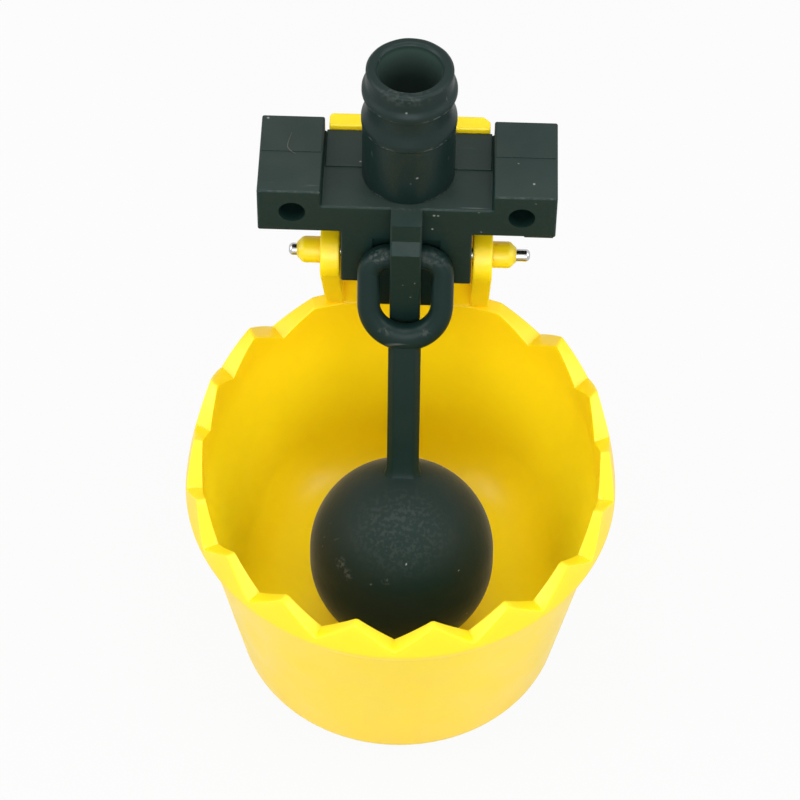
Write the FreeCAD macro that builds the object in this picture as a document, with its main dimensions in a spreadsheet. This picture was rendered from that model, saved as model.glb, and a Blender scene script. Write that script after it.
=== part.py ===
"""Poultry drinking bowl: a toothed cup that hangs on a steel pin under a float valve.

Frame: X to the right, Y towards the wall, Z up, millimetres.
The origin is where the round cup's axis meets the plane of its base.
"""
import FreeCAD, Part
import math
import os

import Sketcher

Vector = FreeCAD.Vector
Rotation = FreeCAD.Rotation
Placement = FreeCAD.Placement

doc = FreeCAD.newDocument("DrinkingBowl")

# Driving dimensions
SIZES = {
    # cup wall and rim
    "rim_height": 45.0,
    "rim_front_radius": 34.0,
    "rim_corner_radius": 26.4,
    "rim_wall": 1.5,
    "crease_height": 38.4,
    "crease_radius": 35.4,
    "crease_corner_radius": 24.9,
    "crease_round": 0.7,
    "neck_height": 36.4,
    "neck_overhang": 2.1,
    "base_front_radius": 26.65,
    "base_corner_radius": 18.0,
    "base_edge_round": 3.2,
    "side_turn": 15.4,
    "back_face": 36.5,
    "back_wall": 2.8,
    "floor_thickness": 2.4,
    "lower_wall": 1.6,
    "bowl_draft": 0.2,
    "floor_round": 4.0,
    # teeth of the rim
    "tooth_depth": 4.6,
    "front_pitch_angle": 21.0,
    "side_pitch": 13.0,
    "tip_flat": 0.45,
    # back plate and ears of the cup
    "plate_half_width": 12.85,
    "plate_rise": 16.0,
    "plate_chamfer": 1.6,
    "ear_inner": 10.65,
    "ear_thickness": 3.1,
    "ear_rise": 7.9,
    "ear_foot_depth": 3.2,
    "ear_foot_sink": 7.0,
    "ear_root": 1.0,
    "lobe_radius": 4.5,
    "boss_radius": 2.15,
    "boss_shoulder": 16.4,
    "boss_end": 17.7,
    "boss_end_radius": 1.45,
    # steel hinge pin of the cup
    "pin_reach": 15.1,
    "pin_height": 71.7,
    "pin_radius": 1.0,
    "pin_left_end": 18.9,
    "pin_right_end": 19.8,
    "pin_dome": 0.7,
    "pin_running_gap": 0.05,
    "pin_press_gap": 0.02,
    # valve block
    "pin_cover": 4.5,
    "block_back_gap": 0.15,
    "wing_half_width": 23.45,
    "saddle_half_width": 13.46,
    "saddle_rise": 14.9,
    "wing_step": 3.2,
    "crossbar_rise": 9.2,
    "column_half_width": 10.38,
    "column_drop": 2.4,
    "block_edge_round": 0.35,
    "wing_lip_start": 18.2,
    "wing_lip": 0.4,
    "screw_half_spacing": 18.0,
    "screw_rise": 13.5,
    "screw_radius": 2.1,
    "hinge_relief_depth": 1.0,
    "hinge_relief_height": 1.5,
    "boss_half_width": 5.8,
    "boss_drop": 5.3,
    "boss_depth": 12.8,
    # hose tail
    "bore_radius": 5.05,
    "tail_length": 22.8,
    "tail_tip_radius": 6.8,
    "tail_tip_chamfer": 0.45,
    "first_barb_rise": 17.6,
    "first_barb_radius": 7.31,
    "first_barb_length": 2.0,
    "neck_radius": 6.8,
    "neck_rise": 14.6,
    "second_barb_rise": 11.4,
    "second_barb_radius": 7.42,
    "barb_rise": 0.35,
    "barb_land": 0.85,
    "barb_taper": 0.04,
    "shank_radius": 7.34,
    "spigot_radius": 6.2,
    "spigot_length": 4.0,
    "seat_gap": 0.02,
    # rubber seat, outlet and valve pin
    "seat_thickness": 1.5,
    "seat_radius": 6.1,
    "seat_hole_radius": 1.9,
    "outlet_radius": 2.5,
    "valve_head_radius": 3.6,
    "valve_head_thickness": 1.2,
    "valve_head_round": 0.3,
    "valve_stem_radius": 0.9,
    "valve_lift": 1.5,
    "valve_heel_gap": 0.1,
    # float lever
    "hinge_inset": 1.45,
    "hinge_rise": 5.5,
    "arm_lean": 18.1,
    "ring_tube_radius": 1.82,
    "ring_half_width": 5.78,
    "ring_length": 14.45,
    "journal_half_length": 2.6,
    "journal_gap": 0.05,
    "stem_width": 4.9,
    "stem_thickness": 3.2,
    "stem_chamfer": 0.8,
    "ball_distance": 55.8,
    "ball_radius": 15.0,
    "ball_wall": 1.6,
    "ball_seat_gap": 0.02,
    "foot_radius": 1.4,
    "foot_length": 2.4,
    "foot_root": 1.0,
    "heel_half_width": 1.5,
    "heel_half_height": 1.2,
    "heel_reach": 10.9,
    "heel_round": 0.4,
    # hook that carries the float lever
    "tongue_half_width": 2.45,
    "nose_reach": 3.7,
    "nose_height": 3.5,
    "tongue_reach": 4.9,
    "tongue_stop_gap": 0.2,
    "tongue_back_reach": 2.6,
    "shoulder_drop": 5.6,
    "tongue_length": 14.9,
    "nose_clearance": 1.4,
    "hook_root": 0.5,
    "recess_half_width": 5.4,
    "recess_depth": 0.55,
    "recess_below": 2.6,
    "recess_above": 2.4,
    "slot_half_width": 1.7,
    "slot_below": 3.0,
    "slot_above": 1.8,
}

# Places that follow from a datum and a distance off it
SUMS = {
    "rim_inner_radius": ("rim_front_radius", "-rim_wall"),
    "rim_inner_corner": ("rim_corner_radius", "-rim_wall"),
    "shoulder_radius": ("rim_inner_radius", "-bowl_draft"),
    "shoulder_corner": ("rim_inner_corner", "-bowl_draft"),
    "neck_front_radius": ("crease_radius", "-neck_overhang"),
    "neck_corner_radius": ("crease_corner_radius", "-neck_overhang"),
    "floor_front_radius": ("base_front_radius", "-lower_wall"),
    "floor_corner_radius": ("base_corner_radius", "-lower_wall"),
    "inner_back": ("back_face", "-back_wall"),
    "ear_front_foot": ("back_face", "-ear_foot_depth"),
    "ear_rear": ("back_face", "-ear_root"),
    "ear_foot_height": ("rim_height", "-ear_foot_sink"),
    "ear_back_top": ("pin_height", "ear_rise"),
    "pin_back": ("back_face", "-pin_reach"),
    "block_front": ("pin_back", "-pin_cover"),
    "block_back": ("inner_back", "-block_back_gap"),
    "crossbar_bottom": ("pin_height", "crossbar_rise"),
    "screw_height": ("pin_height", "screw_rise"),
    "column_bottom": ("pin_height", "-column_drop"),
    "boss_bottom": ("column_bottom", "-boss_drop"),
    "saddle_top": ("pin_height", "saddle_rise"),
    "wing_top": ("saddle_top", "wing_step"),
    "plate_top": ("pin_height", "plate_rise"),
    "tail_top": ("saddle_top", "tail_length"),
    "first_barb_height": ("saddle_top", "first_barb_rise"),
    "first_barb_top": ("first_barb_height", "first_barb_length"),
    "neck_bottom": ("saddle_top", "neck_rise"),
    "second_barb_height": ("saddle_top", "second_barb_rise"),
    "hinge_back": ("block_front", "-hinge_inset"),
    "hinge_height": ("pin_height", "hinge_rise"),
    "nose_front": ("block_front", "-nose_reach"),
    "tongue_front": ("block_front", "-tongue_reach"),
    "tongue_back": ("block_front", "-tongue_back_reach"),
    "hook_rear": ("block_front", "hook_root"),
    "tongue_shoulder": ("saddle_top", "-shoulder_drop"),
    "tongue_bottom": ("hinge_height", "-tongue_length"),
    "nose_underside": ("hinge_height", "nose_clearance"),
    "recess_bottom": ("hinge_height", "-recess_below"),
    "recess_top": ("hinge_height", "recess_above"),
    "slot_bottom": ("hinge_height", "-slot_below"),
    "slot_top": ("hinge_height", "slot_above"),
}

sheet = doc.addObject("Spreadsheet::Sheet", "Sizes")
for row, (alias, value) in enumerate(SIZES.items(), start=1):
    sheet.set(f"A{row}", alias)
    sheet.set(f"B{row}", str(value))
    sheet.setAlias(f"B{row}", alias)
doc.recompute()


def size(alias):
    """Return a driving dimension as the sheet holds it, or a place that follows from some."""
    if alias in SUMS:
        return sum(-size(term[1:]) if term[0] == "-" else size(term) for term in SUMS[alias])
    return float(getattr(sheet, alias))


def cell(alias):
    """Return the expression that reads one cell of the sheet, or the sum that gives a place."""
    if alias in SUMS:
        words = [f"- {cell(term[1:])}" if term[0] == "-" else f"+ {cell(term)}" for term in SUMS[alias]]
        return f"(0 {' '.join(words)})"
    return f"Sizes.{alias}"


# Helpers for bodies and sketches


def new_body(name, label):
    """Add an empty body with the name of its piece."""
    body = doc.addObject("PartDesign::Body", name)
    body.Label = label
    return body


def origin_plane(body, role):
    """Return one of the body's own base planes."""
    for feature in body.Origin.OriginFeatures:
        if feature.Role == role:
            return feature
    raise ValueError(role)


def plane_sketch(body, name, role, offset=None):
    """Add a sketch on a base plane, moved along the plane's normal by an expression."""
    sketch = body.newObject("Sketcher::SketchObject", name)
    sketch.AttachmentSupport = [(origin_plane(body, role), "")]
    sketch.MapMode = "FlatFace"
    if offset:
        sketch.setExpression("AttachmentOffset.Base.z", offset)
    return sketch


def bind(sketch, constraint, expression):
    """Add a dimension whose value follows an expression."""
    index = sketch.addConstraint(constraint)
    label = f"size_{index}"
    sketch.renameConstraint(index, label)
    sketch.setExpression(f"Constraints.{label}", expression)


def closed_outline(sketch, corners):
    """Draw a closed polygon whose corners each follow two expressions."""
    count = len(corners)
    reach = size("rim_height") / 4
    start = [Vector(reach * math.cos(math.tau * k / count), reach * math.sin(math.tau * k / count), 0)
             for k in range(count)]
    lines = [Part.LineSegment(start[k], start[(k + 1) % count]) for k in range(count)]
    first = sketch.GeometryCount
    sketch.addGeometry(lines, False)
    for k in range(count):
        after = first + (k + 1) % count
        sketch.addConstraint(Sketcher.Constraint("Coincident", first + k, 2, after, 1))
    for k, (across, up) in enumerate(corners):
        bind(sketch, Sketcher.Constraint("DistanceX", -1, 1, first + k, 1, start[k].x), across)
        bind(sketch, Sketcher.Constraint("DistanceY", -1, 1, first + k, 1, start[k].y), up)


def circle_outline(sketch, across, up, radius, start):
    """Draw a circle whose centre and radius follow expressions."""
    index = sketch.GeometryCount
    sketch.addGeometry(Part.Circle(Vector(start[0], start[1], 0), Vector(0, 0, 1), start[2]), False)
    bind(sketch, Sketcher.Constraint("DistanceX", -1, 1, index, 3, start[0]), across)
    bind(sketch, Sketcher.Constraint("DistanceY", -1, 1, index, 3, start[1]), up)
    bind(sketch, Sketcher.Constraint("Radius", index, start[2]), radius)


def pad(body, sketch, name, length, reversed_way=False, midplane=False):
    """Pad a sketch by a length expression."""
    feature = body.newObject("PartDesign::Pad", name)
    feature.Profile = sketch
    feature.Reversed = reversed_way
    feature.Midplane = midplane
    feature.setExpression("Length", length)
    return feature


def pocket(body, sketch, name, length, reversed_way=False, midplane=False):
    """Cut a sketch into the body by a length expression and see that it removes material."""
    doc.recompute()
    before = body.Shape.Volume
    feature = body.newObject("PartDesign::Pocket", name)
    feature.Profile = sketch
    feature.Reversed = reversed_way
    feature.Midplane = midplane
    feature.setExpression("Length", length)
    doc.recompute()
    if feature.Shape.Volume >= before:
        raise ValueError(f"{name} cuts nothing")
    return feature


def revolve(body, sketch, name):
    """Turn a profile about the construction line that the sketch holds."""
    feature = body.newObject("PartDesign::Revolution", name)
    feature.Profile = sketch
    feature.ReferenceAxis = (sketch, ["Axis0"])
    feature.Angle = 360.0
    return feature


def axis_line(sketch, across, up, along_x, start):
    """Draw the construction line that a profile turns about."""
    index = sketch.GeometryCount
    end = Vector(start[0] + 5, start[1], 0) if along_x else Vector(start[0], start[1] + 5, 0)
    sketch.addGeometry(Part.LineSegment(Vector(start[0], start[1], 0), end), True)
    bind(sketch, Sketcher.Constraint("DistanceX", -1, 1, index, 1, start[0]), across)
    bind(sketch, Sketcher.Constraint("DistanceY", -1, 1, index, 1, start[1]), up)
    sketch.addConstraint(Sketcher.Constraint("Horizontal" if along_x else "Vertical", index))
    sketch.addConstraint(Sketcher.Constraint("Distance", index, 5.0))


def edges_where(shape, test):
    """Name the edges of a shape that pass a test."""
    return [f"Edge{k}" for k, edge in enumerate(shape.Edges, start=1) if test(edge)]


def round_edges(body, name, test, radius):
    """Fillet the edges of the body's tip that pass a test."""
    doc.recompute()
    tip = body.Tip
    names = edges_where(tip.Shape, test)
    if not names:
        raise ValueError(f"{name} finds no edge")
    feature = body.newObject("PartDesign::Fillet", name)
    feature.Base = (tip, names)
    feature.setExpression("Radius", radius)
    doc.recompute()
    return feature


# Cup

cup = new_body("Cup", "cup")


def d_section(name, height, front, corner, back):
    """Draw the cup's plan at one height: a round front, slightly bowed sides, rounded corners
    and a flat back.

    height is an expression, and front, corner and back name sizes. The side arc's radius follows
    from them, so that it is tangent to the front arc at the cup's widest place and turns by
    side_turn before the corner begins.
    """
    turn = math.radians(size("side_turn"))
    front_r, corner_r, back_y = size(front), size(corner), size(back)
    side_r = corner_r + (back_y - corner_r) / math.sin(turn)
    side_x = front_r - side_r
    corner_x = side_x + (side_r - corner_r) * math.cos(turn)
    corner_y = back_y - corner_r
    sketch = plane_sketch(cup, name, "XY_Plane", height)
    up = Vector(0, 0, 1)

    def arc(x, y, radius, start, end):
        return Part.ArcOfCircle(Part.Circle(Vector(x, y, 0), up, radius), start, end)

    quarter = math.pi / 2
    sketch.addGeometry([
        arc(0, 0, front_r, math.pi, math.tau),
        arc(side_x, 0, side_r, 0, turn),
        arc(corner_x, corner_y, corner_r, turn, quarter),
        Part.LineSegment(Vector(corner_x, back_y, 0), Vector(-corner_x, back_y, 0)),
        arc(-corner_x, corner_y, corner_r, quarter, math.pi - turn),
        arc(-side_x, 0, side_r, math.pi - turn, math.pi),
    ], False)
    for before in range(6):
        after = (before + 1) % 6
        sketch.addConstraint(Sketcher.Constraint("Tangent", before, 2, after, 1))
    sketch.addConstraint(Sketcher.Constraint("Coincident", 0, 3, -1, 1))
    sketch.addConstraint(Sketcher.Constraint("PointOnObject", 0, 2, -1))
    sketch.addConstraint(Sketcher.Constraint("Equal", 2, 4))
    sketch.addConstraint(Sketcher.Constraint("Equal", 1, 5))
    bind(sketch, Sketcher.Constraint("Radius", 0, front_r), cell(front))
    bind(sketch, Sketcher.Constraint("Radius", 2, corner_r), cell(corner))
    side = f"{cell(corner)} + ({cell(back)} - {cell(corner)}) / sin({cell('side_turn')})"
    bind(sketch, Sketcher.Constraint("Radius", 1, side_r), side)
    bind(sketch, Sketcher.Constraint("DistanceY", -1, 1, 3, 1, back_y), cell(back))
    return sketch


def loft(kind, name, lower, upper):
    """Join two plans of the cup by straight walls, as added or as removed material."""
    feature = cup.newObject(f"PartDesign::{kind}Loft", name)
    feature.Profile = lower
    feature.Sections = [upper]
    feature.Ruled = True
    return feature


# The lower wall widens to a neck, and the rim's band stands out over it and leans back in.
base_plan = d_section("BaseOutline", "0", "base_front_radius", "base_corner_radius", "back_face")
neck_plan = d_section("NeckOutline", cell("neck_height"), "neck_front_radius",
                      "neck_corner_radius", "back_face")
crease_plan = d_section("CreaseOutline", cell("crease_height"), "crease_radius",
                        "crease_corner_radius", "back_face")
rim_plan = d_section("RimOutline", cell("rim_height"), "rim_front_radius", "rim_corner_radius",
                     "back_face")
loft("Additive", "LowerWall", base_plan, neck_plan)
loft("Additive", "Overhang", neck_plan, crease_plan)
loft("Additive", "RimBand", crease_plan, rim_plan)


def lies_at(height, tolerance=0.01):
    """Make a test for edges that lie in one horizontal plane."""
    def test(edge):
        box = edge.BoundBox
        return abs(box.ZMin - height) < tolerance and abs(box.ZMax - height) < tolerance
    return test


round_edges(cup, "BaseRound", lies_at(0), cell("base_edge_round"))

round_edges(cup, "CreaseRound", lies_at(size("crease_height")), cell("crease_round"))

floor_plan = d_section("FloorOutline", cell("floor_thickness"), "floor_front_radius",
                       "floor_corner_radius", "inner_back")
shoulder_plan = d_section("ShoulderOutline", cell("crease_height"), "shoulder_radius",
                          "shoulder_corner", "inner_back")
mouth_plan = d_section("MouthOutline", cell("rim_height"), "rim_inner_radius", "rim_inner_corner",
                       "inner_back")
loft("Subtractive", "Bowl", floor_plan, shoulder_plan)
loft("Subtractive", "Mouth", shoulder_plan, mouth_plan)
round_edges(cup, "FloorRound", lies_at(size("floor_thickness")), cell("floor_round"))


valley = f"{cell('rim_height')} - {cell('tooth_depth')}"
above = f"{cell('rim_height')} + {cell('tooth_depth')}"


def notch_section(name, radius, half_width):
    """Draw the triangle of one rim notch across the front, at a distance from the cup's axis."""
    sketch = plane_sketch(cup, name, "XZ_Plane", radius)
    closed_outline(sketch, [("0", valley), (f"2 * ({half_width})", above),
                            (f"-2 * ({half_width})", above)])
    return sketch


# The front notches narrow towards the axis, so that their ridges stay level.
half_notch = f"tan({cell('front_pitch_angle')} / 2) - {cell('tip_flat')} / 2 / {cell('rim_front_radius')}"
near_reach = f"0.7 * {cell('rim_inner_radius')}"
far_reach = f"1.1 * {cell('crease_radius')}"
near_notch = notch_section("NearNotch", near_reach, f"({half_notch}) * {near_reach}")
far_notch = notch_section("FarNotch", far_reach, f"({half_notch}) * {far_reach}")
front_notch = loft("Subtractive", "FrontNotch", near_notch, far_notch)
doc.recompute()

half_count = int(90 / size("front_pitch_angle"))
for way, word in ((False, "Right"), (True, "Left")):
    notches = cup.newObject("PartDesign::PolarPattern", f"{word}Notches")
    notches.Originals = [front_notch]
    notches.Axis = (origin_plane(cup, "Z_Axis"), [""])
    notches.Reversed = way
    notches.Occurrences = half_count + 1
    notches.setExpression("Angle", f"{cell('front_pitch_angle')} * {half_count}")
    cup.Tip = notches
    doc.recompute()

# The notches of the sides and corners keep one pitch along the outline.
turn = math.radians(size("side_turn"))
corner_radius = size("rim_corner_radius")
side_radius = corner_radius + (size("back_face") - corner_radius) / math.sin(turn)
side_centre = size("rim_front_radius") - side_radius
corner_centre = Vector(side_centre + (side_radius - corner_radius) * math.cos(turn),
                       size("back_face") - corner_radius, 0)


def outline_point(along):
    """Give the centre, radius and angle of the rim outline at a length from its widest place."""
    side_length = side_radius * turn
    if along < side_length:
        return Vector(side_centre, 0, 0), side_radius, along / side_radius
    return corner_centre, corner_radius, turn + (along - side_length) / corner_radius


SIDE_NOTCHES = 3
last_front_notch = math.radians(half_count * size("front_pitch_angle") - 90) * size("rim_front_radius")
notch_reach = {"Near": -6 * size("rim_wall"), "Far": 2 * (size("crease_radius") - size("neck_front_radius"))}
side_notches = []
for number in range(1, SIDE_NOTCHES + 1):
    centre, radius, angle = outline_point(last_front_notch + number * size("side_pitch"))
    outward = Vector(math.cos(angle), math.sin(angle), 0)
    facing = Rotation(Vector(-outward.y, outward.x, 0), Vector(0, 0, 1), outward, "ZXY")
    sections = []
    for word, step in notch_reach.items():
        reach = radius + step
        sketch = cup.newObject("Sketcher::SketchObject", f"{word}SideNotch{number}")
        sketch.Placement = Placement(centre + outward * reach, facing)
        share = f"{reach / radius} * ({cell('side_pitch')} - {cell('tip_flat')})"
        closed_outline(sketch, [("0", valley), (share, above), (f"-1 * {share}", above)])
        sections.append(sketch)
    side_notches.append(loft("Subtractive", f"SideNotch{number}", sections[0], sections[1]))
doc.recompute()
mirrored_notches = cup.newObject("PartDesign::Mirrored", "MirroredNotches")
mirrored_notches.Originals = side_notches
mirrored_notches.MirrorPlane = (origin_plane(cup, "YZ_Plane"), [""])
cup.Tip = mirrored_notches
doc.recompute()

# Back plate, standing up from the cup's flat back
plate_foot = f"{cell('neck_height')} - {cell('back_wall')}"
plate_outline = plane_sketch(cup, "PlateOutline", "XY_Plane", plate_foot)
plate_half = cell("plate_half_width")
plate_front = cell("inner_back")
slant = cell("plate_chamfer")
closed_outline(plate_outline, [
    (f"-1 * {plate_half}", plate_front), (plate_half, plate_front),
    (plate_half, f"{cell('back_face')} - {slant}"), (f"{plate_half} - {slant}", cell("back_face")),
    (f"{slant} - {plate_half}", cell("back_face")),
    (f"-1 * {plate_half}", f"{cell('back_face')} - {slant}"),
])
pad(cup, plate_outline, "BackPlate", f"{cell('plate_top')} - ({plate_foot})")
doc.recompute()

# Ear: a flat bracket that leans forward from the back to a round lobe about the pin
ear_outline = plane_sketch(cup, "EarOutline", "YZ_Plane", cell("ear_inner"))
pin_y, pin_z, lobe = size("pin_back"), size("pin_height"), size("lobe_radius")
foot_y, foot_z = size("ear_front_foot"), size("ear_foot_height")
rear_y, rear_z = size("ear_rear"), size("ear_back_top")


def touch_angle(across, up, way):
    """Give the angle at which a line from a point off the lobe touches it, on one side."""
    away = math.hypot(across - pin_y, up - pin_z)
    return math.atan2(up - pin_z, across - pin_y) + way * math.acos(lobe / away)


upper = touch_angle(rear_y, rear_z, 1)
lower = touch_angle(foot_y, foot_z, -1)
upper_touch = Vector(pin_y + lobe * math.cos(upper), pin_z + lobe * math.sin(upper), 0)
lower_touch = Vector(pin_y + lobe * math.cos(lower), pin_z + lobe * math.sin(lower), 0)
ear_outline.addGeometry([
    Part.LineSegment(Vector(rear_y, foot_z, 0), Vector(rear_y, rear_z, 0)),
    Part.LineSegment(Vector(rear_y, rear_z, 0), upper_touch),
    Part.ArcOfCircle(Part.Circle(Vector(pin_y, pin_z, 0), Vector(0, 0, 1), lobe), upper, lower + math.tau),
    Part.LineSegment(lower_touch, Vector(foot_y, foot_z, 0)),
    Part.LineSegment(Vector(foot_y, foot_z, 0), Vector(rear_y, foot_z, 0)),
], False)
ear_outline.addConstraint([
    Sketcher.Constraint("Coincident", 0, 2, 1, 1),
    Sketcher.Constraint("Tangent", 1, 2, 2, 1),
    Sketcher.Constraint("Tangent", 2, 2, 3, 1),
    Sketcher.Constraint("Coincident", 3, 2, 4, 1),
    Sketcher.Constraint("Coincident", 4, 2, 0, 1),
])
bind(ear_outline, Sketcher.Constraint("DistanceX", -1, 1, 0, 1, rear_y), cell("ear_rear"))
bind(ear_outline, Sketcher.Constraint("DistanceY", -1, 1, 0, 1, foot_z), cell("ear_foot_height"))
bind(ear_outline, Sketcher.Constraint("DistanceX", -1, 1, 0, 2, rear_y), cell("ear_rear"))
bind(ear_outline, Sketcher.Constraint("DistanceY", -1, 1, 0, 2, rear_z), cell("ear_back_top"))
bind(ear_outline, Sketcher.Constraint("DistanceX", -1, 1, 2, 3, pin_y), cell("pin_back"))
bind(ear_outline, Sketcher.Constraint("DistanceY", -1, 1, 2, 3, pin_z), cell("pin_height"))
bind(ear_outline, Sketcher.Constraint("Radius", 2, lobe), cell("lobe_radius"))
bind(ear_outline, Sketcher.Constraint("DistanceX", -1, 1, 3, 2, foot_y), cell("ear_front_foot"))
bind(ear_outline, Sketcher.Constraint("DistanceY", -1, 1, 3, 2, foot_z), cell("ear_foot_height"))
ear = pad(cup, ear_outline, "Ear", cell("ear_thickness"))

# Boss on the ear's outer side, cylinder then cone, turned about the pin's axis
boss_profile = plane_sketch(cup, "BossProfile", "XZ_Plane", f"-1 * {cell('pin_back')}")
closed_outline(boss_profile, [
    (f"{cell('ear_inner')} + {cell('ear_thickness')} / 2", cell("pin_height")),
    (cell("boss_end"), cell("pin_height")),
    (cell("boss_end"), f"{cell('pin_height')} + {cell('boss_end_radius')}"),
    (cell("boss_shoulder"), f"{cell('pin_height')} + {cell('boss_radius')}"),
    (f"{cell('ear_inner')} + {cell('ear_thickness')} / 2", f"{cell('pin_height')} + {cell('boss_radius')}"),
])
axis_line(boss_profile, "0", cell("pin_height"), True, (0, size("pin_height")))
boss = revolve(cup, boss_profile, "Boss")
doc.recompute()
both_ears = cup.newObject("PartDesign::Mirrored", "BothEars")
both_ears.Originals = [ear, boss]
both_ears.MirrorPlane = (origin_plane(cup, "YZ_Plane"), [""])
cup.Tip = both_ears

pin_bore = plane_sketch(cup, "PinBore", "YZ_Plane")
circle_outline(pin_bore, cell("pin_back"), cell("pin_height"),
               f"{cell('pin_radius')} + {cell('pin_running_gap')}", (pin_y, pin_z, size("pin_radius")))
pocket(cup, pin_bore, "PinHole", f"3 * {cell('boss_end')}", midplane=True)

# Steel hinge pin

hinge_pin = new_body("HingePin", "hinge_pin")
pin_section = plane_sketch(hinge_pin, "PinSection", "YZ_Plane", f"-1 * {cell('pin_left_end')}")
circle_outline(pin_section, cell("pin_back"), cell("pin_height"), cell("pin_radius"), (pin_y, pin_z, size("pin_radius")))
pad(hinge_pin, pin_section, "Rod", f"{cell('pin_left_end')} + {cell('pin_right_end')}")
round_edges(hinge_pin, "Domes", lambda edge: isinstance(edge.Curve, Part.Circle),
            f"{cell('pin_dome')} * {cell('pin_radius')}")

# Valve block

block = new_body("ValveBody", "valve_body")
block_outline = plane_sketch(block, "BlockOutline", "XZ_Plane", f"-1 * {cell('block_front')}")
wing, inner = cell("wing_half_width"), cell("saddle_half_width")
column, under = cell("column_half_width"), cell("crossbar_bottom")
top, low = cell("wing_top"), cell("saddle_top")
foot = cell("column_bottom")
closed_outline(block_outline, [
    (f"-1 * {wing}", under), (f"-1 * {column}", under), (f"-1 * {column}", foot), (column, foot),
    (column, under), (wing, under), (wing, top), (inner, top), (inner, low),
    (f"-1 * {inner}", low), (f"-1 * {inner}", top), (f"-1 * {wing}", top),
])
block_depth = f"({cell('block_back')} - {cell('block_front')})"
pad(block, block_outline, "Block", block_depth, reversed_way=True)
round_edges(block, "BlockEdges", lambda edge: True, cell("block_edge_round"))

# The right wing's underside steps down a little towards its end.
lip_outline = plane_sketch(block, "LipOutline", "XZ_Plane", f"-1 * ({cell('block_front')} + {cell('block_edge_round')})")
lip_end = f"{wing} - {cell('block_edge_round')}"
closed_outline(lip_outline, [
    (cell("wing_lip_start"), f"{under} + {cell('wing_lip')}"),
    (f"{cell('wing_lip_start')} + {cell('wing_lip')}", f"{under} - {cell('wing_lip')}"),
    (lip_end, f"{under} - {cell('wing_lip')}"), (lip_end, f"{under} + {cell('wing_lip')}"),
])
pad(block, lip_outline, "WingLip", f"{block_depth} - 2 * {cell('block_edge_round')}", reversed_way=True)

# The column's lower back edge is cut back, so that the cup can tip up in front.
block_back = cell("block_back")
relief_outline = plane_sketch(block, "ReliefOutline", "YZ_Plane")
closed_outline(relief_outline, [
    (block_back, f"{cell('pin_height')} + {cell('hinge_relief_height')}"),
    (f"{block_back} - {cell('hinge_relief_depth')}", foot),
    (f"{block_back} - {cell('hinge_relief_depth')}", f"{foot} - 1"),
    (f"{block_back} + 1", f"{foot} - 1"),
    (f"{block_back} + 1", f"{cell('pin_height')} + {cell('hinge_relief_height')}"),
])
pocket(block, relief_outline, "HingeRelief", f"3 * {column}", midplane=True)

# Square outlet boss under the column
outlet_boss = plane_sketch(block, "OutletBossOutline", "XY_Plane", cell("boss_bottom"))
half, front = cell("boss_half_width"), cell("block_front")
rear = f"{front} + {cell('boss_depth')}"
closed_outline(outlet_boss, [(f"-1 * {half}", front), (half, front), (half, rear), (f"-1 * {half}", rear)])
pad(block, outlet_boss, "OutletBoss", f"{foot} + 1 - {cell('boss_bottom')}")

# Hook: a nose on the front of the crossbar that runs down into a springy tongue
hook_outline = plane_sketch(block, "HookOutline", "YZ_Plane", f"-1 * {cell('tongue_half_width')}")
half_bend_drop = f"sqrt({cell('ring_half_width')} ^ 2 - {cell('tongue_half_width')} ^ 2)"
ring_foot = f"({cell('ring_length')} - {cell('ring_half_width')} + {half_bend_drop})"
ring_stop = (f"{cell('hinge_back')} - {ring_foot} * sin({cell('arm_lean')})"
             f" + {cell('ring_tube_radius')} + {cell('tongue_stop_gap')}")
closed_outline(hook_outline, [
    (cell("hook_rear"), f"{low} - {cell('block_edge_round')}"),
    (cell("hook_rear"), low),
    (cell("nose_front"), low),
    (cell("nose_front"), f"{low} - {cell('nose_height')}"),
    (cell("tongue_front"), cell("tongue_shoulder")),
    (ring_stop, cell("tongue_bottom")),
    (cell("tongue_back"), cell("tongue_bottom")),
    (cell("tongue_back"), cell("nose_underside")),
    (cell("hook_rear"), cell("nose_underside")),
])
pad(block, hook_outline, "Hook", f"2 * {cell('tongue_half_width')}")
doc.recompute()


def along_y_at_nose(edge):
    """Pick the nose's and the tongue's outer corners."""
    box = edge.BoundBox
    on_side = abs(abs(box.Center.x) - size("tongue_half_width")) < 0.01 and box.XLength < 0.01
    return on_side and box.YMax < size("tongue_back") - 0.2 and box.ZLength > 1


round_edges(block, "HookEdges", along_y_at_nose, cell("block_edge_round"))

# Round seat for the lever's journal, cut into the tongue and the column alike
journal_seat = plane_sketch(block, "JournalSeat", "YZ_Plane")
circle_outline(journal_seat, cell("hinge_back"), cell("hinge_height"),
               f"{cell('ring_tube_radius')} + {cell('journal_gap')}",
               (size("hinge_back"), size("hinge_height"), size("ring_tube_radius")))
pocket(block, journal_seat, "Seat", f"2 * ({cell('journal_half_length')} + {cell('journal_gap')})", midplane=True)

# Recess that lets the ring's round shoulders turn beside the seat
recess_outline = plane_sketch(block, "RecessOutline", "XZ_Plane", f"-1 * {front}")
for side in ("", "-1 * "):
    closed_outline(recess_outline, [
        (f"{side}{cell('journal_half_length')}", cell("recess_bottom")),
        (f"{side}{cell('recess_half_width')}", cell("recess_bottom")),
        (f"{side}{cell('recess_half_width')}", cell("recess_top")),
        (f"{side}{cell('journal_half_length')}", cell("recess_top")),
    ])
pocket(block, recess_outline, "Recess", cell("recess_depth"))

# Slot that the lever's heel reaches through, from the front face to the outlet bore
slot_outline = plane_sketch(block, "SlotOutline", "XZ_Plane", f"-1 * {front}")
slot = cell("slot_half_width")
closed_outline(slot_outline, [(f"-1 * {slot}", cell("slot_bottom")), (slot, cell("slot_bottom")),
                              (slot, cell("slot_top")), (f"-1 * {slot}", cell("slot_top"))])
block_centre = f"(({front} + {block_back}) / 2)"
pocket(block, slot_outline, "HeelSlot", f"{block_depth} / 2")

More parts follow.
